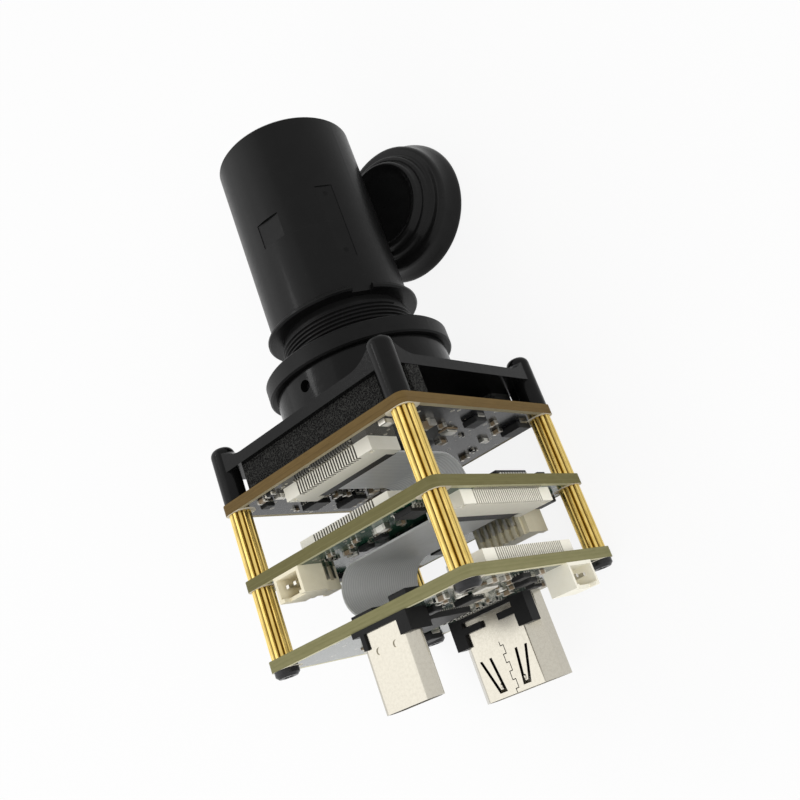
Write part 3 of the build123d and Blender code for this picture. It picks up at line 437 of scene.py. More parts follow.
# The barrel: a moulded plastic tube, satin black. A shallow line runs round it at the pad, and the
# sunken panel has two small gate marks.
BARREL_RADIUS = 11.0
PANEL_TURN = math.radians(31.0)
PANEL_X = BARREL_RADIUS * math.cos(PANEL_TURN)
PANEL_Z = BOARD_HALF + BARREL_RADIUS * math.sin(PANEL_TURN)
NEAR_GATE = 30.3
FAR_GATE = 40.6
GATE_RADIUS = 0.42
PARTING_AT = 35.7
barrel_black = Finish("barrel_black", coat=0.04, specular=0.1)
near_gate = barrel_black.at.away_from(PANEL_X, NEAR_GATE, PANEL_Z) < GATE_RADIUS
far_gate = barrel_black.at.away_from(PANEL_X, FAR_GATE, PANEL_Z) < GATE_RADIUS
gates = near_gate + far_gate
parting = (barrel_black.at.part(1) - PARTING_AT).magnitude() < 0.07
dust = barrel_black.at.cells(0.9) < 0.035
tone = barrel_black.at.noise(0.35, 3.0).blend((0.003, 0.003, 0.003, 1), (0.006, 0.006, 0.006, 1))
tone = dust.blend(tone, (0.03, 0.03, 0.03, 1))
barrel_black.set("Base Color", gates.blend(tone, (0.001, 0.001, 0.001, 1)))
barrel_black.set("Roughness", barrel_black.at.noise(1.2, 5.0) * 0.16 + 0.24)
skin = barrel_black.at.noise(9.0, 4.0) * 0.5 - parting - gates * 2.0
barrel_black.set("Normal", skin.relief(0.35, 0.00006))
barrel_black.give("lens_barrel")

# Glass elements with a greenish coating, the filter glass, and the sensor under them.
# They are ground, coated and held by a ring or by glue.
glass = Finish("coated_glass", coat=0.6)
coating = glass.at.noise(0.25, 2.0)
glass.set("Base Color", coating.blend((0.80, 0.95, 0.90, 1), (0.90, 0.93, 0.97, 1)))
glass.set("Roughness", coating * 0.02 + 0.02)
glass.set("Transmission Weight", 1.0)
glass.give("front_element", "rear_element", "filter_glass", "sensor_glass")

sensor_dark = Finish("sensor_dark")
sensor_dark.set("Base Color", sensor_dark.at.noise(1.0).blend((0.05, 0.05, 0.06, 1), (0.08, 0.08, 0.09, 1)))
sensor_dark.set("Roughness", sensor_dark.at.noise(3.0) * 0.1 + 0.25)
sensor_dark.give("image_sensor")

# Ribbon cables: flat wires side by side in a grey film, each run folded in a U between two
# connectors. The wires show as fine ribs along the cable.
WIRE_PITCH = 0.5
for ribbon_name, way in (("image_ribbon_cable", 0), ("data_ribbon_cable", 2)):
    film = Finish(ribbon_name + "_film")
    rib = (film.at.part(way).wrap(WIRE_PITCH) - WIRE_PITCH / 2).magnitude() * (2 / WIRE_PITCH)
    grain = film.at.noise(0.6, 2.0)
    greys = rib * 0.75 + grain * 0.25
    film.set("Base Color", greys.blend((0.78, 0.79, 0.78, 1), (0.56, 0.565, 0.56, 1)))
    film.set("Roughness", grain * 0.1 + 0.34)
    film.set("Normal", (1.0 - rib * rib).relief(0.6, 0.00006))
    film.give(ribbon_name)

# Ribbon connectors: ivory nylon combs with a black slide lock and tinned contacts. The nylon is
# slightly mottled, and the walls of the comb slots are painted dark as shade, darkest on the sensor board's.
SHORT_ROWS_AT = 0.35
SHORT_ROWS_REACH = 7.3
LONG_ROWS_AT = 19.7
LONG_ROWS_REACH = 9.4
BETWEEN_BOARDS = -6.0
ivory = Finish("ivory_plastic")
across = ivory.at.part(0)
along_axis = ivory.at.part(1)
upwards = ivory.at.part(2)
in_short_rows = (across - SHORT_ROWS_AT).magnitude() < SHORT_ROWS_REACH
in_long_rows = (upwards - LONG_ROWS_AT).magnitude() < LONG_ROWS_REACH
wall_across = ivory.facing.part(0).magnitude() > 0.7
wall_upwards = ivory.facing.part(2).magnitude() > 0.7
sensor_comb = in_short_rows * wall_across * (upwards > 30.0) * (along_axis > BETWEEN_BOARDS)
image_comb = in_short_rows * wall_across * (across < 7.65) * (along_axis < BETWEEN_BOARDS)
data_combs = in_long_rows * wall_upwards * (across > 11.0)
# Painted shade: comb walls facing across or upwards are darkened towards brown-black, most on the sensor
# board's connector.
painted_comb_shade = sensor_comb * 0.9 + image_comb * 0.65 + data_combs * 0.4
nylon_white = ivory.at.noise(0.9).blend((0.87, 0.84, 0.72, 1), (0.94, 0.91, 0.81, 1))
ivory.set("Base Color", painted_comb_shade.blend(nylon_white, (0.05, 0.04, 0.025, 1)))
ivory.set("Roughness", ivory.at.noise(3.0) * 0.15 + 0.42)
ivory.set("Normal", ivory.at.noise(8.0).relief(0.15, 0.00003))
ivory.give(*[name for name in nodes if name.endswith("ribbon_housing")])

black_plastic = Finish("connector_black", specular=0.14)
soot = black_plastic.at.noise(2.0).blend((0.004, 0.004, 0.004, 1), (0.010, 0.010, 0.010, 1))
black_plastic.set("Base Color", soot)
black_plastic.set("Roughness", black_plastic.at.noise(4.0) * 0.15 + 0.35)
black_plastic.set("Normal", black_plastic.at.noise(9.0).relief(0.2, 0.00003))
black_plastic.give(*[name for name in nodes if name.endswith(("_lock", "_insert", "_base"))])

tin = Finish("tinned", metallic=1.0)
tin.set("Base Color", tin.at.noise(3.0).blend((0.52, 0.50, 0.45, 1), (0.72, 0.70, 0.64, 1)))
tin.set("Roughness", tin.at.noise(5.0) * 0.2 + 0.26)
tin.set("Normal", tin.at.noise(5.0, 2.0).relief(0.3, 0.00004))
tin.give(*[name for name in nodes if name.endswith(("_contacts", "_pins"))])

# Wire headers: open boxes with tinned pins. The one under the socket board is cream nylon, the
# others are beige.
for header_name, pale, warm, names in (
    ("header_cream", (0.92, 0.89, 0.78, 1), (0.85, 0.81, 0.67, 1), ("power_header_housing",)),
    (
        "header_beige",
        (0.88, 0.82, 0.63, 1),
        (0.76, 0.69, 0.50, 1),
        ("button_header_housing", "light_header_housing", "side_header_housing"),
    ),
):
    nylon = Finish(header_name)
    nylon.set("Base Color", nylon.at.noise(0.8).blend(pale, warm))
    nylon.set("Roughness", nylon.at.noise(3.0) * 0.15 + 0.42)
    nylon.set("Normal", nylon.at.noise(8.0).relief(0.15, 0.00003))
    nylon.give(*names)

# Socket shells: folded steel sheet, nickel plated and smooth, with a few faint rubbing marks.
# The spring fingers of the wide socket end in small pressed bumps. The cut faces of the sheet and thin
# strips beside the fingers are painted dark as shade.
WIDE_SOCKET_X = -1.0
WIDE_SOCKET_TOP = 7.5
FINGER_TIP = -36.2
FINGER_ROOT = -31.0
FINGER_LENGTH = 5.2
FINGER_SPREAD = 2.25
SPREAD_TO_ROOT = 1.15
SLOT_OFF_TIP = 0.475
SLOT_TO_ROOT = 0.45
nickel = Finish("nickel", metallic=1.0)
rubbing = nickel.at.noise(2.5, 4.0, 0.6)
depth = nickel.at.part(2)
upright = nickel.facing.part(2).magnitude() < 0.3
aside = (nickel.at.part(0) - WIDE_SOCKET_X).magnitude()
length_way = nickel.at.part(1)
in_sheet = (depth > 7.15) * (depth < 7.46)
# Painted shade: upright cut faces of the sheet near the top, and thin strips beside and below the spring
# fingers, are coloured near black.
cut_faces = in_sheet * upright * (aside < 5.0) * (length_way > -36.9)
to_root = (length_way - FINGER_TIP) / FINGER_LENGTH
off_finger = (aside - (FINGER_SPREAD + to_root * SPREAD_TO_ROOT)).magnitude()
beside = (off_finger - (SLOT_OFF_TIP + to_root * SLOT_TO_ROOT)).magnitude() < 0.25
below_tip = (off_finger < 0.55) * (length_way < -35.8)
near_top = (depth - WIDE_SOCKET_TOP).magnitude() < 0.06
by_finger = (length_way > -36.28) * (length_way < FINGER_ROOT)
slot_rims = beside.larger(below_tip) * near_top * by_finger
painted_slot_shade = cut_faces.larger(slot_rims)
plated = rubbing.rise(0.3, 0.8).blend((0.56, 0.53, 0.455, 1), (0.51, 0.48, 0.41, 1))
nickel.set("Base Color", painted_slot_shade.blend(plated, (0.02, 0.018, 0.015, 1)))
nickel.set("Roughness", rubbing * 0.04 + 0.16)
nickel.set("Normal", nickel.at.noise(12.0, 2.0).relief(0.05, 0.00001))
nickel.give("usb_shell", "hdmi_shell")

BUMP_RADIUS = 0.42
BUMP_FLATTENED = (0.62, 1.0, 0.45)
bumps = bmesh.new()
for x in (WIDE_SOCKET_X - FINGER_SPREAD, WIDE_SOCKET_X + FINGER_SPREAD):
    dome = bmesh.ops.create_uvsphere(bumps, u_segments=16, v_segments=10, radius=BUMP_RADIUS)["verts"]
    bmesh.ops.scale(bumps, vec=BUMP_FLATTENED, verts=dome)
    bmesh.ops.translate(bumps, vec=(x, -35.3, 7.42), verts=dome)
finished("spring_bumps", bumps, nickel, "module", 60)


# Chips and small parts, soldered flat on both faces of the boards: epoxy bodies, ceramic chips with
# tinned ends, metal cans. Each row is a board's face, a kind, a place in x and z, a size in x and z,
# and a height.
PART_BODIES = {"cap": "ceramic", "res": "epoxy", "led": "pale"}
END_SHARE = 0.21
PAD_PITCH = 0.5
PAD_HALF = 0.11
LEG_PITCH = 0.65
LEG_HALF = 0.13


def soldered(shapes, along, side, kind, x, z, length, width, height):
    """One part on the face at along, side 1 or -1 being the way its face points."""

    def block(key, x0, x1, z0, z1, low, high, bevel=0.03):
        y0, y1 = sorted((along + side * low, along + side * high))
        brick(shapes[key], (x + x0, y0, z + z0), (x + x1, y1, z + z1), bevel)

    half_x = length / 2
    half_z = width / 2
    if kind in PART_BODIES and length >= width:
        reach = length * END_SHARE
        inner = half_x - reach * 0.9
        block(PART_BODIES[kind], -inner, inner, -half_z + 0.02, half_z - 0.02, 0.02, height - 0.02)
        block("tin", -half_x, -half_x + reach, -half_z, half_z, 0, height)
        block("tin", half_x - reach, half_x, -half_z, half_z, 0, height)
    elif kind in PART_BODIES:
        reach = width * END_SHARE
        inner = half_z - reach * 0.9
        block(PART_BODIES[kind], -half_x + 0.02, half_x - 0.02, -inner, inner, 0.02, height - 0.02)
        block("tin", -half_x, half_x, -half_z, -half_z + reach, 0, height)
        block("tin", -half_x, half_x, half_z - reach, half_z, 0, height)
    elif kind == "coil":
        block("epoxy", -half_x, half_x, -half_z, half_z, 0.05, height, 0.12)
        for end in (-1, 1):
            near, far = sorted((end * (half_x - 0.2), end * (half_x + 0.12)))
            block("tin", near, far, -half_z * 0.6, half_z * 0.6, 0, height * 0.35)
    elif kind == "can":
        block("tin", -half_x, half_x, -half_z, half_z, 0.05, height, 0.18)
        block("ceramic", -half_x - 0.08, half_x + 0.08, -half_z - 0.08, half_z + 0.08, 0, 0.2, 0.02)
    elif kind == "flat":
        block("epoxy", -half_x, half_x, -half_z, half_z, 0.05, height, 0.06)
        for side_length, reach, along_x in ((length, half_z, True), (width, half_x, False)):
            count = int(side_length / PAD_PITCH) - 1
            for step in range(count):
                slide = (step - (count - 1) / 2) * PAD_PITCH
                for end in (-1, 1):
                    near, far = sorted((end * (reach - 0.1), end * (reach + 0.12)))
                    if along_x:
                        block("tin", slide - PAD_HALF, slide + PAD_HALF, near, far, 0, 0.12, 0.01)
                    else:
                        block("tin", near, far, slide - PAD_HALF, slide + PAD_HALF, 0, 0.12, 0.01)
    elif kind == "legs":
        block("epoxy", -half_x, half_x, -half_z, half_z, 0.1, height, 0.08)
        count = max(3, int(width / LEG_PITCH))
        for step in range(count):
            slide = (step - (count - 1) / 2) * LEG_PITCH
            for end in (-1, 1):
                near, far = sorted((end * (half_x - 0.05), end * (half_x + 0.3)))
                block("tin", near, far, slide - LEG_HALF, slide + LEG_HALF, 0.08, height * 0.55, 0.03)
                near, far = sorted((end * (half_x + 0.2), end * (half_x + 0.7)))
                block("tin", near, far, slide - LEG_HALF, slide + LEG_HALF, 0, 0.14, 0.02)


epoxy = Finish("chip_epoxy", specular=0.14)
epoxy.set("Base Color", epoxy.at.noise(6.0).blend((0.010, 0.010, 0.010, 1), (0.026, 0.026, 0.026, 1)))
epoxy.set("Roughness", epoxy.at.noise(4.0) * 0.2 + 0.38)
epoxy.set("Normal", epoxy.at.noise(14.0).relief(0.3, 0.00003))
ceramic_tan = Finish("small_part_ceramic")
ceramic_tan.set("Base Color", ceramic_tan.at.noise(0.5).blend((0.14, 0.09, 0.05, 1), (0.34, 0.27, 0.18, 1)))
ceramic_tan.set("Roughness", 0.45)
ceramic_tan.set("Normal", ceramic_tan.at.noise(9.0).relief(0.2, 0.00003))
lamp_white = Finish("indicator_white")
lamp_white.set("Base Color", lamp_white.at.noise(2.0).blend((0.80, 0.78, 0.70, 1), (0.88, 0.86, 0.80, 1)))
lamp_white.set("Roughness", 0.35)
PART_FINISHES = {
    "epoxy": (epoxy, "chip_black"),
    "ceramic": (ceramic_tan, "small_part_grey"),
    "tin": (tin, "contact_metal"),
    "pale": (lamp_white, "small_part_grey"),
}


def populated(name, rows, stands_for=None):
    """All parts of one group, one object for each finish."""
    shapes = {key: bmesh.new() for key in PART_FINISHES}
    for along, side, kind, x, z, length, width, height in rows:
        soldered(shapes, along, side, kind, x, z, length, width, height)
    pieces = []
    for key, shape in shapes.items():
        if shape.verts:
            finish, slot = PART_FINISHES[key]
            pieces.append(finished(f"{name}_{key}", shape, finish, "module"))
        else:
            shape.free()
    if stands_for:
        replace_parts(pieces[0], stands_for)


SENSOR_UNDER = (-0.8, -1)
MIDDLE_TOP = (-10.8, 1)
MIDDLE_UNDER = (-12.4, -1)
SOCKET_TOP = (-22.4, 1)
SOCKET_UNDER = (-24.0, -1)

populated(
    "chips",
    (
        (*MIDDLE_TOP, "legs", 14.9, 17.1, 5.2, 7.6, 1.0),
        (*MIDDLE_TOP, "flat", 15.6, 9.0, 3.4, 2.0, 0.8),
        (*MIDDLE_TOP, "flat", -13.0, 18.5, 5.0, 4.0, 1.0),
        (*MIDDLE_UNDER, "flat", -14.5, 22.5, 3.0, 3.0, 0.9),
        (*MIDDLE_UNDER, "flat", -14.0, 14.5, 4.0, 5.0, 0.9),
        (*SOCKET_UNDER, "flat", -1.5, 21.5, 9.0, 9.0, 0.9),
        (*SOCKET_UNDER, "legs", 8.5, 24.5, 3.0, 3.0, 0.9),
        (*SOCKET_UNDER, "flat", -12.5, 13.5, 2.2, 2.2, 0.8),
    ),
    "chips",
)
populated(
    "small_parts",
    (
        (*SENSOR_UNDER, "cap", 13.6, 26.5, 2.0, 1.3, 0.9),
        (*SENSOR_UNDER, "cap", 13.2, 22.7, 1.2, 0.7, 0.6),
        (*SENSOR_UNDER, "coil", 15.2, 17.5, 2.6, 2.6, 0.9),
        (*SENSOR_UNDER, "cap", 14.8, 12.1, 1.2, 0.7, 0.6),
        (*SENSOR_UNDER, "cap", 12.4, 7.9, 1.6, 0.9, 0.6),
        (*MIDDLE_UNDER, "cap", -3.5, 34.1, 1.2, 0.7, 0.5),
        (*MIDDLE_UNDER, "cap", 1.5, 34.1, 1.2, 0.7, 0.5),
        (*MIDDLE_UNDER, "led", 6.0, 33.7, 2.0, 1.2, 0.8),
        (*SOCKET_UNDER, "led", 11.5, 30.0, 1.6, 0.9, 0.6),
        (*SOCKET_UNDER, "cap", 13.6, 21.5, 1.2, 0.7, 0.5),
        (*SOCKET_UNDER, "cap", 10.5, 16.5, 1.2, 0.7, 0.5),
    ),
    "small_parts",
)
populated(
    "sensor_board_parts",
    (
        (*SENSOR_UNDER, "cap", -11.6, 35.2, 1.6, 0.8, 0.6),
        (*SENSOR_UNDER, "res", -9.4, 35.6, 1.6, 0.8, 0.5),
        (*SENSOR_UNDER, "led", -9.9, 33.2, 1.0, 1.8, 0.7),
        (*SENSOR_UNDER, "coil", -12.9, 33.2, 1.6, 1.6, 0.8),
        (*SENSOR_UNDER, "flat", -13.1, 22.9, 3.2, 3.2, 0.9),
        (*SENSOR_UNDER, "cap", -10.2, 24.2, 1.0, 0.5, 0.4),
        (*SENSOR_UNDER, "cap", -10.2, 23.2, 1.0, 0.5, 0.4),
        (*SENSOR_UNDER, "res", -10.2, 22.2, 1.0, 0.5, 0.35),
        (*SENSOR_UNDER, "cap", -10.2, 20.9, 1.6, 0.8, 0.6),
        (*SENSOR_UNDER, "res", -8.6, 19.4, 0.5, 1.0, 0.35),
        (*SENSOR_UNDER, "cap", -10.0, 19.0, 0.8, 1.6, 0.6),
        (*SENSOR_UNDER, "res", -11.6, 20.0, 1.0, 0.5, 0.35),
        (*SENSOR_UNDER, "cap", -13.2, 20.2, 1.0, 0.5, 0.45),
        (*SENSOR_UNDER, "cap", -14.8, 20.2, 1.0, 0.5, 0.45),
        (*SENSOR_UNDER, "cap", -15.6, 24.8, 0.5, 1.0, 0.45),
        (*SENSOR_UNDER, "coil", -12.2, 15.8, 4.2, 3.0, 1.0),
        (*SENSOR_UNDER, "cap", -8.6, 14.2, 1.6, 1.2, 0.7),
        (*SENSOR_UNDER, "res", -9.0, 16.4, 1.0, 0.5, 0.35),
        (*SENSOR_UNDER, "res", -9.0, 17.2, 1.0, 0.5, 0.35),
        (*SENSOR_UNDER, "cap", -14.9, 12.4, 0.5, 1.0, 0.4),
        (*SENSOR_UNDER, "cap", -13.6, 12.4, 0.5, 1.0, 0.4),
        (*SENSOR_UNDER, "cap", -12.3, 12.4, 0.5, 1.0, 0.4),
        (*SENSOR_UNDER, "can", -12.4, 8.6, 3.2, 2.5, 0.8),
        (*SENSOR_UNDER, "cap", -15.2, 8.4, 0.8, 1.6, 0.5),
        (*SENSOR_UNDER, "res", -9.4, 9.2, 1.0, 0.5, 0.35),
        (*SENSOR_UNDER, "res", -9.4, 8.2, 1.0, 0.5, 0.35),
        (*SENSOR_UNDER, "flat", -4.5, 6.2, 2.2, 2.2, 0.8),
        (*SENSOR_UNDER, "cap", -1.6, 6.8, 1.0, 0.5, 0.4),
        (*SENSOR_UNDER, "cap", -1.6, 5.8, 1.0, 0.5, 0.4),
        (*SENSOR_UNDER, "cap", 0.6, 6.3, 0.5, 1.0, 0.4),
        (*SENSOR_UNDER, "cap", 3.4, 4.8, 1.6, 0.8, 0.6),
        (*SENSOR_UNDER, "res", 5.6, 4.8, 1.0, 0.5, 0.35),
        (*SENSOR_UNDER, "res", 5.6, 5.7, 1.0, 0.5, 0.35),
        (*SENSOR_UNDER, "led", 13.4, 35.0, 1.2, 2.0, 0.7),
        (*SENSOR_UNDER, "can", 11.6, 19.2, 1.6, 2.4, 0.6),
        (*SENSOR_UNDER, "cap", 8.2, 16.8, 1.0, 2.0, 0.5),
        (*SENSOR_UNDER, "res", 10.4, 14.4, 0.5, 1.0, 0.35),
        (*SENSOR_UNDER, "led", 9.4, 7.4, 0.8, 1.8, 0.6),
        (*SENSOR_UNDER, "coil", 13.9, 5.2, 3.6, 3.2, 1.1),
    ),
)
populated(
    "middle_board_parts",
    (
        (*MIDDLE_TOP, "cap", 11.0, 20.6, 1.0, 0.5, 0.4),
        (*MIDDLE_TOP, "cap", 11.0, 19.5, 1.0, 0.5, 0.4),
        (*MIDDLE_TOP, "res", 11.0, 14.6, 1.0, 0.5, 0.35),
        (*MIDDLE_TOP, "res", 11.0, 13.7, 1.0, 0.5, 0.35),
        (*MIDDLE_TOP, "cap", 13.2, 11.6, 1.6, 0.8, 0.6),
        (*MIDDLE_TOP, "cap", 16.6, 12.0, 0.8, 1.4, 0.6),
        (*MIDDLE_TOP, "can", 13.0, 23.9, 3.2, 2.4, 0.8),
        (*MIDDLE_TOP, "cap", 16.2, 24.4, 0.8, 1.6, 0.6),
        (*MIDDLE_TOP, "res", 12.2, 29.4, 0.5, 1.0, 0.35),
        (*MIDDLE_TOP, "res", 13.0, 29.4, 0.5, 1.0, 0.35),
        (*MIDDLE_TOP, "coil", -13.4, 11.2, 3.6, 3.6, 1.2),
        (*MIDDLE_TOP, "flat", -13.2, 26.4, 3.0, 3.0, 0.8),
        (*MIDDLE_TOP, "cap", -10.6, 23.4, 1.0, 0.5, 0.4),
        (*MIDDLE_TOP, "cap", -9.8, 20.4, 1.0, 0.5, 0.4),
        (*MIDDLE_TOP, "cap", -9.8, 17.0, 1.6, 0.8, 0.6),
        (*MIDDLE_TOP, "cap", -14.6, 31.2, 1.6, 0.8, 0.6),
        (*MIDDLE_TOP, "res", -11.2, 31.4, 0.5, 1.0, 0.35),
        (*MIDDLE_TOP, "flat", 0.0, 5.6, 4.0, 4.0, 0.8),
        (*MIDDLE_TOP, "cap", -4.0, 4.8, 1.0, 0.5, 0.4),
        (*MIDDLE_TOP, "cap", -4.0, 6.4, 1.0, 0.5, 0.4),
        (*MIDDLE_TOP, "cap", 4.6, 5.6, 0.8, 1.6, 0.6),
        (*MIDDLE_UNDER, "legs", 11.4, 33.6, 3.0, 4.0, 0.9),
        (*MIDDLE_UNDER, "cap", -2.8, 31.2, 1.6, 0.9, 0.6),
        (*MIDDLE_UNDER, "cap", -0.8, 32.4, 1.0, 0.5, 0.4),
        (*MIDDLE_UNDER, "res", -5.4, 32.8, 1.0, 0.5, 0.35),
        (*MIDDLE_UNDER, "res", -5.4, 31.9, 1.0, 0.5, 0.35),
        (*MIDDLE_UNDER, "res", -5.4, 31.0, 1.0, 0.5, 0.35),
        (*MIDDLE_UNDER, "led", -3.9, 29.3, 1.0, 1.6, 0.6),
        (*MIDDLE_UNDER, "coil", -0.9, 29.6, 2.0, 1.6, 0.8),
        (*MIDDLE_UNDER, "cap", 3.6, 32.2, 0.5, 1.0, 0.4),
        (*MIDDLE_UNDER, "cap", 4.8, 31.2, 0.5, 1.0, 0.4),
        (*MIDDLE_UNDER, "flat", 2.4, 29.9, 1.6, 1.6, 0.6),
        (*MIDDLE_UNDER, "cap", 7.2, 31.0, 0.8, 1.4, 0.5),
        (*MIDDLE_UNDER, "flat", 0.0, 20.0, 5.0, 5.0, 0.6),
        (*MIDDLE_UNDER, "cap", -14.6, 9.4, 1.6, 0.8, 0.6),
        (*MIDDLE_UNDER, "cap", -12.0, 9.4, 1.6, 0.8, 0.6),
        (*MIDDLE_UNDER, "res", -9.6, 8.8, 0.5, 1.0, 0.35),
        (*MIDDLE_UNDER, "flat", -5.6, 6.4, 3.0, 3.0, 0.8),
        (*MIDDLE_UNDER, "cap", -2.4, 7.6, 1.0, 0.5, 0.4),
        (*MIDDLE_UNDER, "cap", -2.4, 6.6, 1.0, 0.5, 0.4),
        (*MIDDLE_UNDER, "res", -2.4, 5.6, 1.0, 0.5, 0.35),
        (*MIDDLE_UNDER, "coil", 13.2, 4.6, 3.0, 3.0, 1.2),
        (*MIDDLE_UNDER, "cap", -15.0, 27.2, 0.8, 1.6, 0.6),
        (*MIDDLE_UNDER, "cap", -15.0, 30.2, 0.8, 1.6, 0.6),
    ),
)
SOCKET_ROWS = [
    (*SOCKET_TOP, "flat", -1.0, 32.8, 4.0, 4.0, 0.8),
    (*SOCKET_TOP, "cap", -5.0, 33.6, 1.6, 0.8, 0.6),
    (*SOCKET_TOP, "cap", -5.0, 31.8, 1.6, 0.8, 0.6),
    (*SOCKET_TOP, "coil", 5.4, 33.0, 3.2, 3.2, 1.2),
    (*SOCKET_TOP, "cap", -13.4, 30.0, 0.8, 1.6, 0.6),
    (*SOCKET_TOP, "can", -13.0, 21.4, 3.2, 2.5, 0.8),
    (*SOCKET_TOP, "cap", -13.4, 17.0, 1.0, 0.5, 0.4),
    (*SOCKET_TOP, "flat", -12.6, 9.6, 3.0, 3.0, 0.8),
    (*SOCKET_TOP, "cap", -5.0, 6.4, 1.0, 0.5, 0.4),
    (*SOCKET_TOP, "legs", 0.6, 5.8, 3.0, 4.0, 0.9),
    (*SOCKET_TOP, "cap", 6.0, 5.4, 0.8, 1.6, 0.6),
    (*SOCKET_UNDER, "cap", 11.6, 34.0, 1.6, 0.9, 0.7),
    (*SOCKET_UNDER, "led", 13.4, 32.4, 1.0, 1.6, 0.6),
    (*SOCKET_UNDER, "res", 9.6, 33.4, 0.5, 1.0, 0.35),
    (*SOCKET_UNDER, "cap", 9.4, 31.2, 0.8, 1.6, 0.6),
    (*SOCKET_UNDER, "coil", 6.4, 30.0, 2.2, 1.8, 0.9),
    (*SOCKET_UNDER, "cap", 3.6, 30.6, 1.0, 0.5, 0.45),
    (*SOCKET_UNDER, "cap", 3.6, 29.6, 1.0, 0.5, 0.45),
    (*SOCKET_UNDER, "res", 1.4, 30.2, 0.5, 1.0, 0.35),
    (*SOCKET_UNDER, "can", 13.4, 27.2, 2.4, 3.0, 0.8),
    (*SOCKET_UNDER, "cap", 16.2, 29.2, 0.8, 1.6, 0.6),
    (*SOCKET_UNDER, "cap", 16.2, 26.2, 0.8, 1.6, 0.6),
    (*SOCKET_UNDER, "flat", 15.9, 22.2, 2.0, 2.0, 0.7),
    (*SOCKET_UNDER, "cap", 11.6, 23.8, 0.5, 1.0, 0.4),
    (*SOCKET_UNDER, "cap", 11.6, 21.6, 1.0, 0.5, 0.4),
    (*SOCKET_UNDER, "res", 5.4, 23.2, 0.5, 1.0, 0.35),
    (*SOCKET_UNDER, "res", 6.0, 27.4, 1.0, 0.5, 0.35),
    (*SOCKET_UNDER, "cap", 7.4, 20.4, 1.6, 0.8, 0.6),
    (*SOCKET_UNDER, "coil", 13.8, 18.2, 2.6, 2.2, 1.0),
    (*SOCKET_UNDER, "cap", 16.6, 18.4, 0.8, 1.6, 0.6),
    (*SOCKET_UNDER, "led", 10.4, 19.0, 1.0, 0.8, 0.5),
    (*SOCKET_UNDER, "cap", 8.0, 16.4, 1.0, 0.5, 0.4),
    (*SOCKET_UNDER, "cap", 8.0, 14.2, 1.6, 0.8, 0.6),
    (*SOCKET_UNDER, "legs", 10.6, 11.4, 1.4, 2.4, 0.9),
    (*SOCKET_UNDER, "cap", 8.8, 6.4, 0.8, 1.6, 0.6),
    (*SOCKET_UNDER, "cap", 10.6, 6.0, 0.8, 1.6, 0.6),
    (*SOCKET_UNDER, "cap", -8.0, 24.0, 0.5, 1.0, 0.4),
    (*SOCKET_UNDER, "cap", -8.0, 21.8, 0.5, 1.0, 0.4),
    (*SOCKET_UNDER, "cap", -8.0, 19.6, 0.5, 1.0, 0.4),
    (*SOCKET_UNDER, "can", -11.6, 22.0, 3.2, 2.5, 0.8),
    (*SOCKET_UNDER, "cap", -12.8, 18.4, 1.0, 0.5, 0.4),
    (*SOCKET_UNDER, "res", -12.8, 17.4, 1.0, 0.5, 0.35),
    (*SOCKET_UNDER, "res", -12.8, 16.5, 1.0, 0.5, 0.35),
    (*SOCKET_UNDER, "coil", -12.4, 8.4, 3.2, 3.2, 1.2),
]
for step in range(9):
    SOCKET_ROWS.append((*SOCKET_UNDER, "res", -6.0 + step * 1.3, 12.2, 0.5, 1.0, 0.35))
for step in range(6):
    SOCKET_ROWS.append((*SOCKET_UNDER, "cap", -5.4 + step * 2.0, 14.4, 1.0, 0.5, 0.4))
populated("socket_board_parts", SOCKET_ROWS)

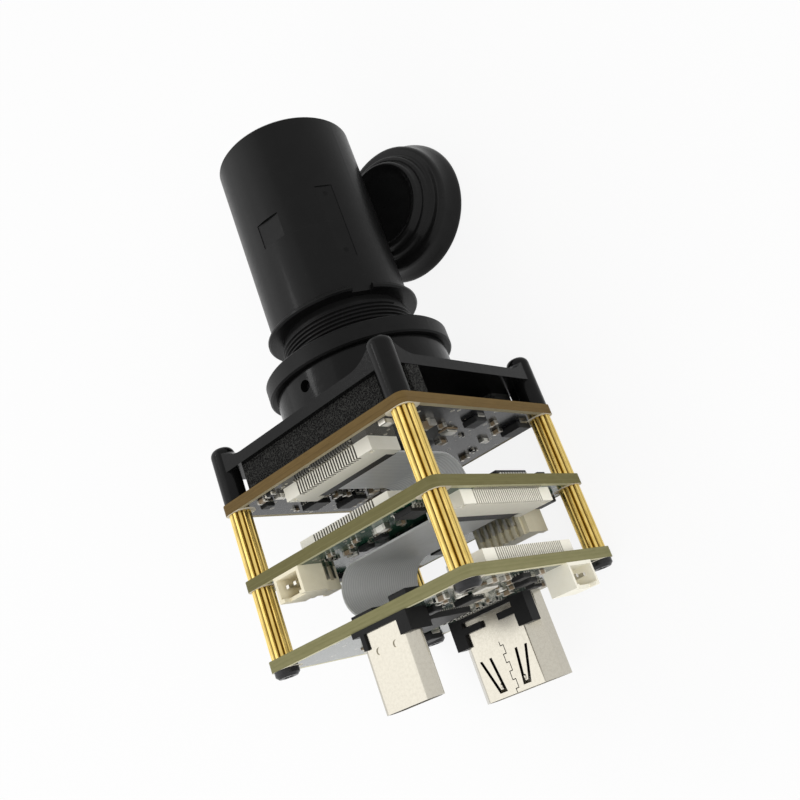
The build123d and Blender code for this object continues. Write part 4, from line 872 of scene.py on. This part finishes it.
# The tails of both sockets: tinned strips from the insert to the board, soldered in a row.
# They stand beside the shells, between the sockets.
SMALL_SOCKET_X = 3.1
TAIL_PITCH = 0.5
BOARD_UNDERSIDE = -24.0
TAIL_UNDERSIDE = -24.14
TAIL_ROWS = (
    (WIDE_SOCKET_X, 19, 0.12, 8.15, 9.5),
    (SMALL_SOCKET_X, 12, 0.13, 32.1, 33.0),
)
tails = bmesh.new()
for middle, count, half_width, low, high in TAIL_ROWS:
    for step in range(count):
        slide = middle + (step - (count - 1) / 2) * TAIL_PITCH
        near_corner = (slide - half_width, TAIL_UNDERSIDE, low)
        brick(tails, near_corner, (slide + half_width, BOARD_UNDERSIDE, high), 0.02)
finished("socket_tails", tails, tin, "module")

# The rubber dust cap, taken off and stood on its brim beside the barrel: a soft moulded cup with
# three rounded steps, a sunken face and a flared lip.
rubber = Finish("cap_rubber", coat=0.08, specular=0.1)
rubber.set("Base Color", rubber.at.noise(0.6).blend((0.005, 0.005, 0.005, 1), (0.009, 0.009, 0.009, 1)))
rubber.set("Roughness", rubber.at.noise(1.5, 4.0) * 0.16 + 0.22)
rubber.set("Normal", (rubber.at.noise(10.0) * 0.4 + rubber.at.noise(1.0)).relief(0.25, 0.00006))
CAP_OUTLINE = (
    (0.0, 6.42),
    (5.6, 6.40),
    (6.2, 6.46),
    (6.55, 6.66),
    (6.85, 6.94),
    (7.15, 7.02),
    (7.45, 6.90),
    (7.62, 6.55),
    (7.72, 6.05),
    (7.95, 5.78),
    (8.3, 5.80),
    (8.62, 5.72),
    (8.82, 5.40),
    (8.92, 4.85),
    (9.15, 4.50),
    (9.6, 4.38),
    (10.1, 4.44),
    (10.6, 4.34),
    (10.9, 3.95),
    (11.0, 3.30),
    (11.15, 2.50),
    (11.5, 1.60),
    (11.9, 0.85),
    (12.02, 0.35),
    (11.85, 0.05),
    (11.5, 0.02),
    (10.5, 0.02),
    (10.15, 0.30),
    (9.95, 3.00),
    (9.7, 3.25),
    (8.0, 3.35),
    (7.75, 3.60),
    (7.6, 4.90),
    (7.3, 5.25),
    (0.0, 5.30),
)
CAP_X = 7.2
CAP_Y = 44.0
cap = bmesh.new()
profile = [cap.verts.new((CAP_X + radius, CAP_Y, height)) for radius, height in CAP_OUTLINE]
for first, second in zip(profile, profile[1:]):
    cap.edges.new((first, second))
bmesh.ops.spin(
    cap,
    geom=[*cap.verts, *cap.edges],
    cent=(CAP_X, CAP_Y, 0),
    axis=(0, 0, 1),
    angle=2 * math.pi,
    steps=96,
    use_merge=True,
)
bmesh.ops.remove_doubles(cap, verts=cap.verts, dist=0.001)
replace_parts(finished("rubber_cap", cap, rubber, "module", 50), "dust_cap")
